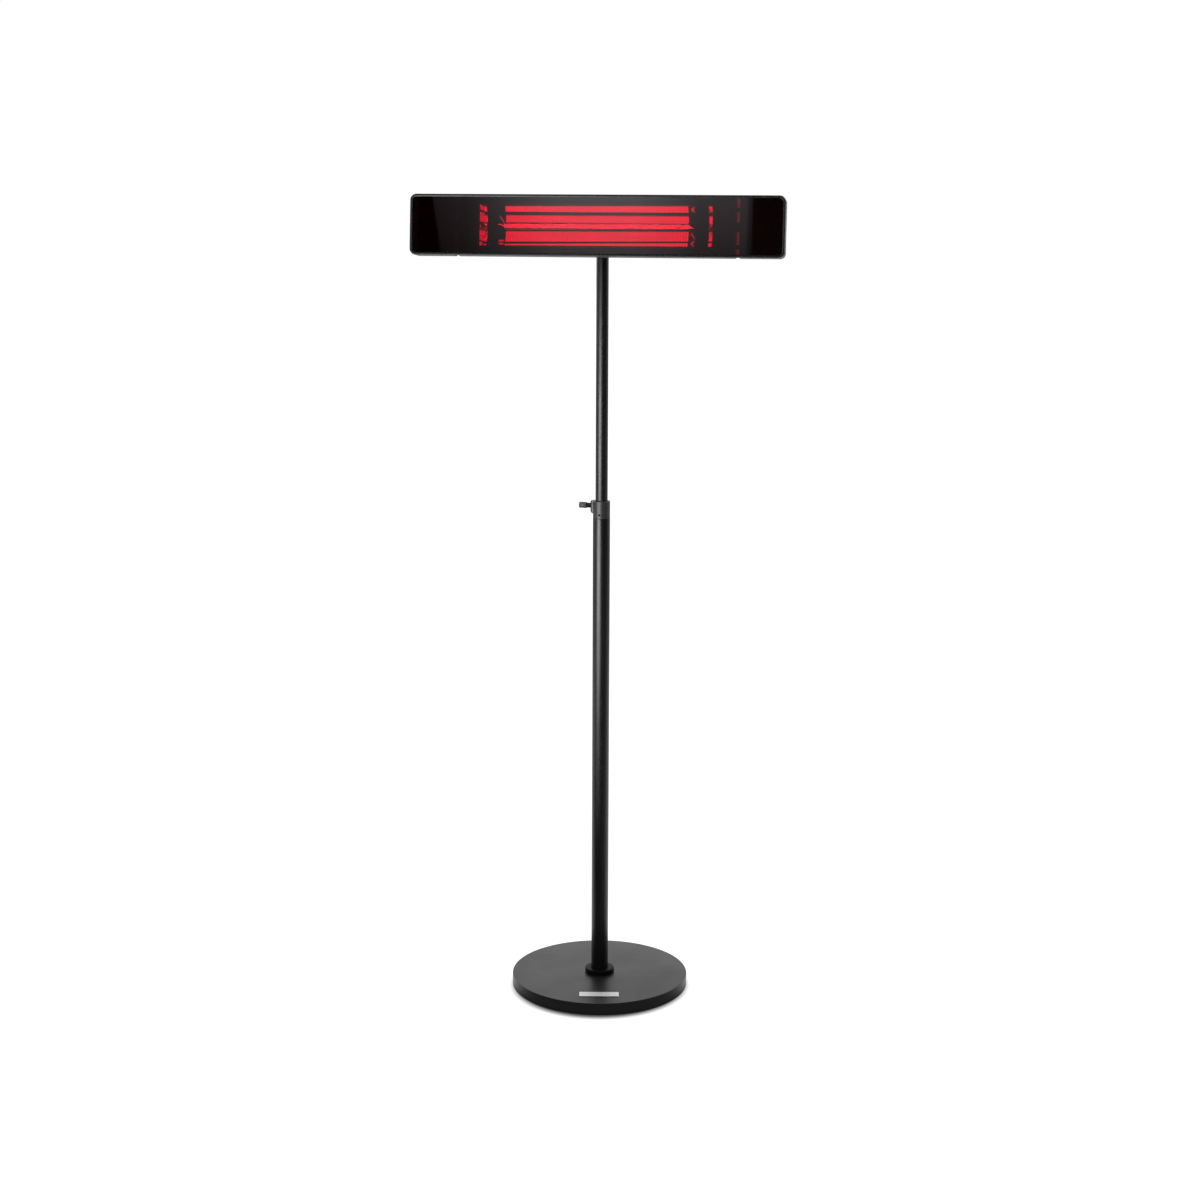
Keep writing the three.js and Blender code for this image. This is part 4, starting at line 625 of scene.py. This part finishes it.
def pivot_knob():
    """Six-lobed hand knob on its hub."""
    start, grip, end = 23.0, 29.0, 43.0
    hub, rim = 8.2, 15.0

    def wobble(radius, height, angle):
        if radius <= hub or height < grip - 0.2:
            return radius
        hollow = 0.5 + 0.5 * math.cos(6 * angle)
        return radius - 2.5 * hollow ** 1.5 * (radius - hub) / (rim - hub)

    outline = [(4.5, start), (7.6, start), (8, start + 0.4), (8, grip - 0.6), (8.6, grip)]
    outline += [(11, grip), (13.6, grip), (14.6, grip + 0.5), (15, grip + 1.5), (15, grip + 6), (15, end - 3)]
    outline += [(14.7, end - 1.6), (13.9, end - 0.6), (12.4, end), (8.3, end), (7.8, end - 0.5), (0, end - 0.5)]
    outline += [(0, start + 12.4), (4.5, start + 12.4)]
    low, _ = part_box("pivot_knob")
    place = PIVOT @ Matrix.Translation((low[0] / MM - start, 0, 0))
    bm = turn_outline(bmesh.new(), outline, 144, "x", wobble=wobble)
    piece("hand_knob", bm, place, "black_plastic", "tilt_grip", ["pivot_knob"])


def pivot_bolt():
    """Hexagon head with a chamfered face, and a shank through the fork."""
    across, shank, head_end, chamfer = 12.7, 4, 5.3, 0.62
    low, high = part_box("pivot_bolt")
    left, right = low[0] / MM, high[0] / MM
    hexagon = circle(across / math.sqrt(3), 6)
    bm = join_outlines(bmesh.new(), [(hexagon, left + 0.6), (hexagon, left + head_end)], "x", capped=True)
    turn_outline(bm, [(0, left), (5.9, left), (6.4, left + chamfer), (0, left + chamfer)], 48, "x")
    turn_outline(bm, rounded_ends(shank, left + head_end - 0.1, right, 0.4), 32, "x")
    piece("hinge_bolt", bm, PIVOT, "steel", "mast", ["pivot_bolt"], smooth=30)


pivot_knob()
pivot_bolt()

# ---------------------------------------------------------------- heater head

LENGTH, HEIGHT, CORNER = 952.0, 154.0, 16.0
SCREW_SPREAD = 46.5  # bracket screws above and below the head's middle
GLAND_X = 440


def head_outline(inset):
    """The bezel's outline, drawn in by an inset."""
    return rounded_rectangle(LENGTH - 2 * inset, HEIGHT - 2 * inset, CORNER - inset, 14)


def bezel():
    """Slim frame with a softly rounded front edge and a small step down to the glass."""
    back, step, edge = 7.9, 1.5, 1.2
    rounding = [math.radians(a) for a in (75, 60, 45, 30, 15, 0)]
    profile = [(0, back), (0, 1.4)]
    profile += [(edge - edge * math.sin(a), edge - edge * math.cos(a)) for a in rounding]
    profile += [(6.1, 0), (6.4, 0.12), (6.5, 0.4), (6.5, step), (1.5, step), (1.5, back)]
    bm = join_outlines(bmesh.new(), [(head_outline(inset), along) for inset, along in profile], "y")
    piece("front_frame", bm, HEAD, "black_aluminium", "head", ["bezel"])


def glass_panel():
    """Glass with ground edges."""
    profile = [(2.2, 1.8), (1.8, 2.2), (1.8, 5.4), (2.2, 5.8)]
    outlines = [(head_outline(inset), along) for inset, along in profile]
    bm = join_outlines(bmesh.new(), outlines, "y", capped=True)
    piece("front_glass", bm, HEAD, "dark_glass", "head", ["glass_panel"], smooth=20)


def filament():
    """Tightly wound glowing wire with a bent end and a cool lead on each side."""
    steps = 12
    count = round(4 * FILAMENT_HALF / RIPPLE_PITCH) * steps
    left_end, right_end = (-251, 0, 4.2), (247, 0, -4.4)
    spots = [left_end, (-FILAMENT_HALF - 6, 0, 2)]
    for i in range(count + 1):
        angle = 2 * math.pi * i / steps
        x = -FILAMENT_HALF + 2 * FILAMENT_HALF * i / count
        radius = CURL_RADIUS * min(1, 0.6 + min(i, count - i) / (steps * 2))
        spots.append((x, radius * math.cos(angle), radius * math.sin(angle)))
    spots += [(FILAMENT_HALF + 4, 0, -2), right_end]
    made = wire("wound_wire", spots, 1.25, "glowing_wire")
    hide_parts("filament")
    for name, side, start in (("lead_left", -1, left_end), ("lead_right", 1, right_end)):
        spots = [start, (side * 262, 0, start[2] * 0.6), (side * 272, 0, 0), (side * 319.5, 0, 0)]
        wire(name, spots, 0.9, "steel")


def wire(name, spots, radius, slot):
    """A round wire in the lamp through points given from the lamp's middle."""
    curve = bpy.data.curves.new(name, "CURVE")
    curve.dimensions = "3D"
    curve.bevel_depth = radius * MM
    curve.bevel_resolution = 2
    curve.use_fill_caps = True
    spline = curve.splines.new("POLY")
    spline.points.add(len(spots) - 1)
    for target, spot in zip(spline.points, spots):
        target.co = (*(LAMP @ Vector(spot)), 1)
    made = bpy.data.objects.new(name, curve)
    curve.materials.append(FINISHES[slot])
    scene.collection.objects.link(made)
    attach(made, "head")
    return made


def lamp_tube():
    """Quartz tube with fire-polished rims."""
    rim = [(5.8, 320), (6.1, 320), (7.2, 319.6), (7.5, 319.2)]
    outline = [(radius, -along) for radius, along in rim] + rim[::-1]
    bm = turn_outline(bmesh.new(), outline, 64, "x")
    piece("lamp_glass", bm, LAMP, "quartz", "head", ["lamp_tube"])


def bracket_screw(corner):
    """Button head with a hexagon socket over a plain shank."""
    node = "bracket_bolt_" + corner
    low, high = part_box(node)
    middle = (low[0] + high[0]) / 2 / MM
    spot = (36, middle, SCREW_SPREAD if corner.startswith("upper") else -SCREW_SPREAD)  # steps and centre
    profile = [(0.02, 60.3), (2.2, 60.3), (2.5, 60.6), (2.5, 71.1), (4.85, 71.1), (5, 71.3), (5, 72.1),
               (4.75, 73.1), (4.1, 73.9), (3.1, 74.5), (2.4, 74.6)]
    loops = [(circle(radius, *spot), along) for radius, along in profile]
    loops += [(socket(1.9, *spot), 74.6), (socket(1.75, *spot), 72.6), (circle(0.02, *spot), 72.3)]
    bm = join_outlines(bmesh.new(), loops, "y")
    piece("bracket_screw_" + corner, bm, HEAD, "steel", "head", [node], finish=STAINLESS)


def gland_seal():
    """Slit rubber membrane in the empty cable gland."""
    outline = [(0, 63.2), (3.6, 63.0), (5.4, 62.4), (6.1, 61.6), (6.1, 66.4), (5.6, 66.6), (5.0, 65.4), (3.4, 64.5),
               (0, 64.3)]
    bm = turn_outline(bmesh.new(), outline, 48, "y", centre=(GLAND_X, 0, 0))
    piece("gland_seal", bm, HEAD, "black_rubber", "head")


bezel()
glass_panel()
filament()
lamp_tube()
for corner_name in ("upper_left", "upper_right", "lower_left", "lower_right"):
    bracket_screw(corner_name)
gland_seal()

# ---------------------------------------------------------------- softened edges of the solids kept

KEPT = {
    "clamp_collar": 0.5, "mast_head": 0.7, "tilt_bracket": 0.5, "centre_housing": 0.3, "end_cap_left": 0.5,
    "end_cap_right": 0.5, "track_upper": 0.25, "track_lower": 0.25, "duct_left": 0.3, "duct_right": 0.3,
    "gland_body": 0.4, "gland_nut": 0.5, "pivot_washer_left": 0.2, "pivot_washer_right": 0.2,
    "mast_head_screw": 0.4, "bare_plate": 0.25, "terminal_block": 0.4, "slot_nut_upper": 0.3, "slot_nut_lower": 0.3,
    "end_plate_left": 0.2, "end_plate_right": 0.2, "tube_bush": 0.2, "foot_mat": 0.3, "pole_bolt": 0.4,
    "pole_washer": 0.2, "glide_bush": 0.3, "glide_screw": 0.3, "mast_plug": 0.3, "lamp_base_left": 0.3,
    "lamp_base_right": 0.3, "lamp_holder_left": 0.3, "lamp_holder_right": 0.3, "clamp_stud": 0.3, "clamp_pad": 0.3,
    "pole_plug": 0.3,
}  # millimetres that each edge is rounded by
ROUND_BELOW, BEVEL_ABOVE = 35, 40  # degrees between two faces


def rounded_shading():
    """Modifier nodes that shade faces smoothly across slight edges."""
    group = bpy.data.node_groups.new("rounded_shading", "GeometryNodeTree")
    group.interface.new_socket("Geometry", in_out="INPUT", socket_type="NodeSocketGeometry")
    group.interface.new_socket("Geometry", in_out="OUTPUT", socket_type="NodeSocketGeometry")
    start, end = group.nodes.new("NodeGroupInput"), group.nodes.new("NodeGroupOutput")
    faces = group.nodes.new("GeometryNodeSetShadeSmooth")
    edges = group.nodes.new("GeometryNodeSetShadeSmooth")
    edges.domain = "EDGE"
    angle = group.nodes.new("GeometryNodeInputMeshEdgeAngle")
    slight = group.nodes.new("FunctionNodeCompare")
    slight.operation = "LESS_THAN"
    slight.inputs["B"].default_value = math.radians(ROUND_BELOW)
    group.links.new(angle.outputs["Unsigned Angle"], slight.inputs["A"])
    group.links.new(start.outputs[0], faces.inputs["Geometry"])
    group.links.new(faces.outputs[0], edges.inputs["Geometry"])
    group.links.new(slight.outputs[0], edges.inputs["Shade Smooth"])
    group.links.new(edges.outputs[0], end.inputs[0])
    return group


ROUNDED = rounded_shading()
for name, width in KEPT.items():
    weld = nodes[name].modifiers.new("weld", "WELD")
    weld.merge_threshold = 0.01 * MM
    flat = nodes[name].modifiers.new("flat", "DECIMATE")
    flat.decimate_type = "DISSOLVE"
    flat.angle_limit = math.radians(0.5)
    nodes[name].modifiers.new("rounded", "NODES").node_group = ROUNDED
    bevel = nodes[name].modifiers.new("edges", "BEVEL")
    bevel.width = width * MM
    bevel.segments = 2
    bevel.limit_method = "ANGLE"
    bevel.angle_limit = math.radians(BEVEL_ABOVE)
    bevel.harden_normals = True
    bevel.miter_outer = "MITER_ARC"
    even = nodes[name].modifiers.new("even", "WEIGHTED_NORMAL")
    even.keep_sharp = True

# ---------------------------------------------------------------- studio

# Level directions: away from the camera, towards the strip and across the strip.
AWAY = Vector((-math.sin(math.radians(CAMERA_TURN)), math.cos(math.radians(CAMERA_TURN)), 0))
STRIP_TURN = math.radians(CAMERA_TURN - 36)  # where the strip stands, from the front towards the right
STRIP_WAY = Vector((math.sin(STRIP_TURN), -math.cos(STRIP_TURN), 0))
STRIP_ACROSS = Vector((math.cos(STRIP_TURN), math.sin(STRIP_TURN), 0))


def stage_piece(name, corners, recipe, only_mirrored=False):
    """A flat sheet of the studio from its corners."""
    bm = bmesh.new()
    bm.faces.new([bm.verts.new(c) for c in corners])
    mesh = bpy.data.meshes.new(name)
    bm.to_mesh(mesh)
    bm.free()
    made = bpy.data.objects.new(name, mesh)
    scene.collection.objects.link(made)
    recipe.set("Specular IOR Level", 0.0)
    mesh.materials.append(recipe.material)
    if only_mirrored:
        made.visible_camera = False
        made.visible_diffuse = False
        made.visible_shadow = False
        made.visible_transmission = False


def strip_card(name, distance, half_width, low, high, recipe):
    """An upright card on the strip's side, seen only in gloss."""
    corners = ((-half_width, low), (half_width, low), (half_width, high), (-half_width, high))
    middle = STRIP_WAY * distance
    stage_piece(name, [middle + STRIP_ACROSS * a + Vector((0, 0, b)) for a, b in corners], recipe, True)


def studio_floor():
    """White floor with the base's contact shadow painted into its glow; what is mirrored in the object is dark in
    front.
    """
    paper = Recipe("floor_paper", (0.16, 0.16, 0.16), 0.9)
    path = paper.node("LightPath").outputs
    towards_camera, narrower, dark_to, clear_from = 0.014, 1.035, 0.222, 0.259
    shifted = paper.vector("ADD", paper.place, AWAY * towards_camera)
    reach = paper.vector("LENGTH", paper.vector("MULTIPLY", shifted, (narrower, 1, 1)), output="Value")
    # Painted contact shadow: the floor's glow fades to dark close to the base's rim.
    shadow = paper.span(reach, dark_to, clear_from, 0.0, 1.0, smooth=True)
    ahead = paper.vector("DOT_PRODUCT", paper.vector("NORMALIZE", paper.place), AWAY, "Value")
    distance = paper.vector("LENGTH", paper.place, output="Value")
    behind = paper.math("MULTIPLY", paper.span(ahead, -0.6, 0.25, 0.04, 1.0, smooth=True),
                        paper.span(distance, 4.0, 8.0, 1.0, 0.25, smooth=True))
    mirrored = paper.math("MULTIPLY", path["Is Glossy Ray"], behind)
    shown = paper.math("MAXIMUM", path["Is Camera Ray"], path["Is Transmission Ray"])
    paper.shine((1, 1, 1), paper.math("MULTIPLY", shadow, paper.math("ADD", shown, mirrored)))
    half, z = 40, -0.0004
    stage_piece("floor", [(-half, -half, z), (half, -half, z), (half, half, z), (-half, half, z)], paper)


def studio_world():
    """White behind and around the object, dark behind the camera as black flags would make it."""
    world = bpy.data.worlds.new("studio")
    scene.world = world
    world.use_nodes = True
    sky = Graph(world.node_tree)
    path = sky.node("LightPath").outputs
    way = sky.node("TexCoord").outputs["Generated"]
    facing = sky.vector("DOT_PRODUCT", way, AWAY, "Value")
    right = sky.vector("DOT_PRODUCT", way, (AWAY.y, -AWAY.x, 0), "Value")
    darker = sky.math("MULTIPLY", sky.math("MAXIMUM", right, 0.0), 0.1)
    ahead = sky.span(sky.math("SUBTRACT", facing, darker), -0.3, 0.28, 0.03, 0.97, smooth=True)
    shown = sky.math("ADD", path["Is Camera Ray"], path["Is Transmission Ray"], clamp=True)
    mirrored = sky.math("MULTIPLY", path["Is Glossy Ray"], ahead)
    other = sky.math("SUBTRACT", 1.0, sky.math("ADD", shown, path["Is Glossy Ray"], clamp=True))
    soft = sky.math("MULTIPLY", other, 0.6)
    strength = sky.math("ADD", sky.math("ADD", shown, mirrored), soft)
    background = sky.node("Background", {"Color": (1, 1, 1, 1), "Strength": strength})
    sky.node("OutputWorld", {"Surface": background.outputs[0]})


def area_light(name, place, target, size, power):
    """A soft box that lights matt surfaces; the mirrored panels stand for it in gloss."""
    data = bpy.data.lights.new(name, "AREA")
    data.shape = "RECTANGLE"
    data.size, data.size_y = size
    data.energy = power
    lamp = bpy.data.objects.new(name, data)
    aim = (Vector(target) - Vector(place)).to_track_quat("-Z", "Y")
    lamp.matrix_world = Matrix.Translation(place) @ aim.to_matrix().to_4x4()
    lamp.visible_camera = False
    lamp.visible_glossy = False
    scene.collection.objects.link(lamp)


# Brightness along the panel that the glass mirrors, from its left end to its right end.
PANEL_LEVELS = [
    (0.0, 0.08), (0.04, 0.11), (0.118, 0.156), (0.193, 0.3), (0.27, 0.46), (0.39, 0.74), (0.52, 0.8), (0.64, 0.79),
    (0.77, 0.54), (0.832, 0.375), (0.91, 0.335), (0.984, 0.33), (0.989, 0.15), (1.0, 0.14),
]


def glass_panel_light():
    """Soft panel behind the camera that the glass mirrors: brighter in its middle and higher up."""
    left, right, low, high = -1.98, -0.1457, 2.5, 3.9
    lit_left, seen_low, seen_high = -1.907, 3.03, 3.365
    cloth = Recipe("panel_cloth", (0, 0, 0), 1.0)
    x, _, z = cloth.node("SeparateXYZ", {"Vector": cloth.place}).outputs[:3]
    across = cloth.node("ValToRGB", {"Fac": cloth.span(x, lit_left, right)})
    ramp = across.color_ramp
    ramp.interpolation = "LINEAR"
    while len(ramp.elements) < len(PANEL_LEVELS):
        ramp.elements.new(0.5)
    for element, (spot, value) in zip(ramp.elements, PANEL_LEVELS):
        element.position = spot
        element.color = (value, value, value, 1)
    slanted_edge = cloth.span(z, seen_low, seen_high, -1.8415, lit_left)
    inside = cloth.math("GREATER_THAN", x, slanted_edge)
    up = cloth.span(z, seen_low, seen_high, 1.0, 2.35)
    level = cloth.math("MULTIPLY", across.outputs["Color"], cloth.math("MULTIPLY", up, inside))
    cloth.shine((1.0, 0.96, 1.0), level)
    y = -6.1
    stage_piece("panel", [(left, y, low), (right, y, low), (right, y, high), (left, y, high)], cloth, True)


def pole_panel_light():
    """Tall soft panel at the front left that draws the bright line down the pole."""
    cloth = Recipe("strip_cloth", (0, 0, 0), 1.0)
    along = cloth.vector("DOT_PRODUCT", cloth.place, STRIP_ACROSS, "Value")
    z = cloth.node("SeparateXYZ", {"Vector": cloth.place}).outputs[2]
    width = band(cloth, along, -0.85, 0.78, 0.34, 0.34)
    rise = cloth.span(z, 0.1, 1.0, 0.0, 1.0, smooth=True)
    fall = cloth.span(z, 1.6, 2.1, 1.0, 0.0, smooth=True)
    depth = cloth.node("LightPath").outputs["Glossy Depth"]
    once = cloth.span(depth, 1, 2, 1.0, 0.15)
    brightness = 11.5
    level = cloth.math("MULTIPLY", width, cloth.math("MULTIPLY", rise, fall))
    cloth.shine((1, 1, 1), cloth.math("MULTIPLY", level, cloth.math("MULTIPLY", once, brightness)))
    strip_card("strip", 2.3, 1.2, 0.01, 2.1, cloth)


def base_flag():
    """Low dark card that keeps the strip's glare off the base, its flange and the pole's foot."""
    cloth = Recipe("flag_cloth", (0, 0, 0), 1.0)
    cloth.shine((1, 1, 1), 0.05)
    strip_card("flag", 0.33, 0.5, 0.002, 0.48, cloth)


studio_floor()
studio_world()
base_flag()
glass_panel_light()
pole_panel_light()
area_light("key", (-2.6, -3.6, 3.4), (0, 0, 1.1), (0.8, 2.6), 120)
area_light("fill", (3.4, -2.4, 2.6), (0, 0, 1.0), (1.6, 1.6), 25)
area_light("top", (0.4, 1.4, 4.2), (0, 0, 1.2), (2.5, 2.5), 60)

bpy.context.view_layer.update()
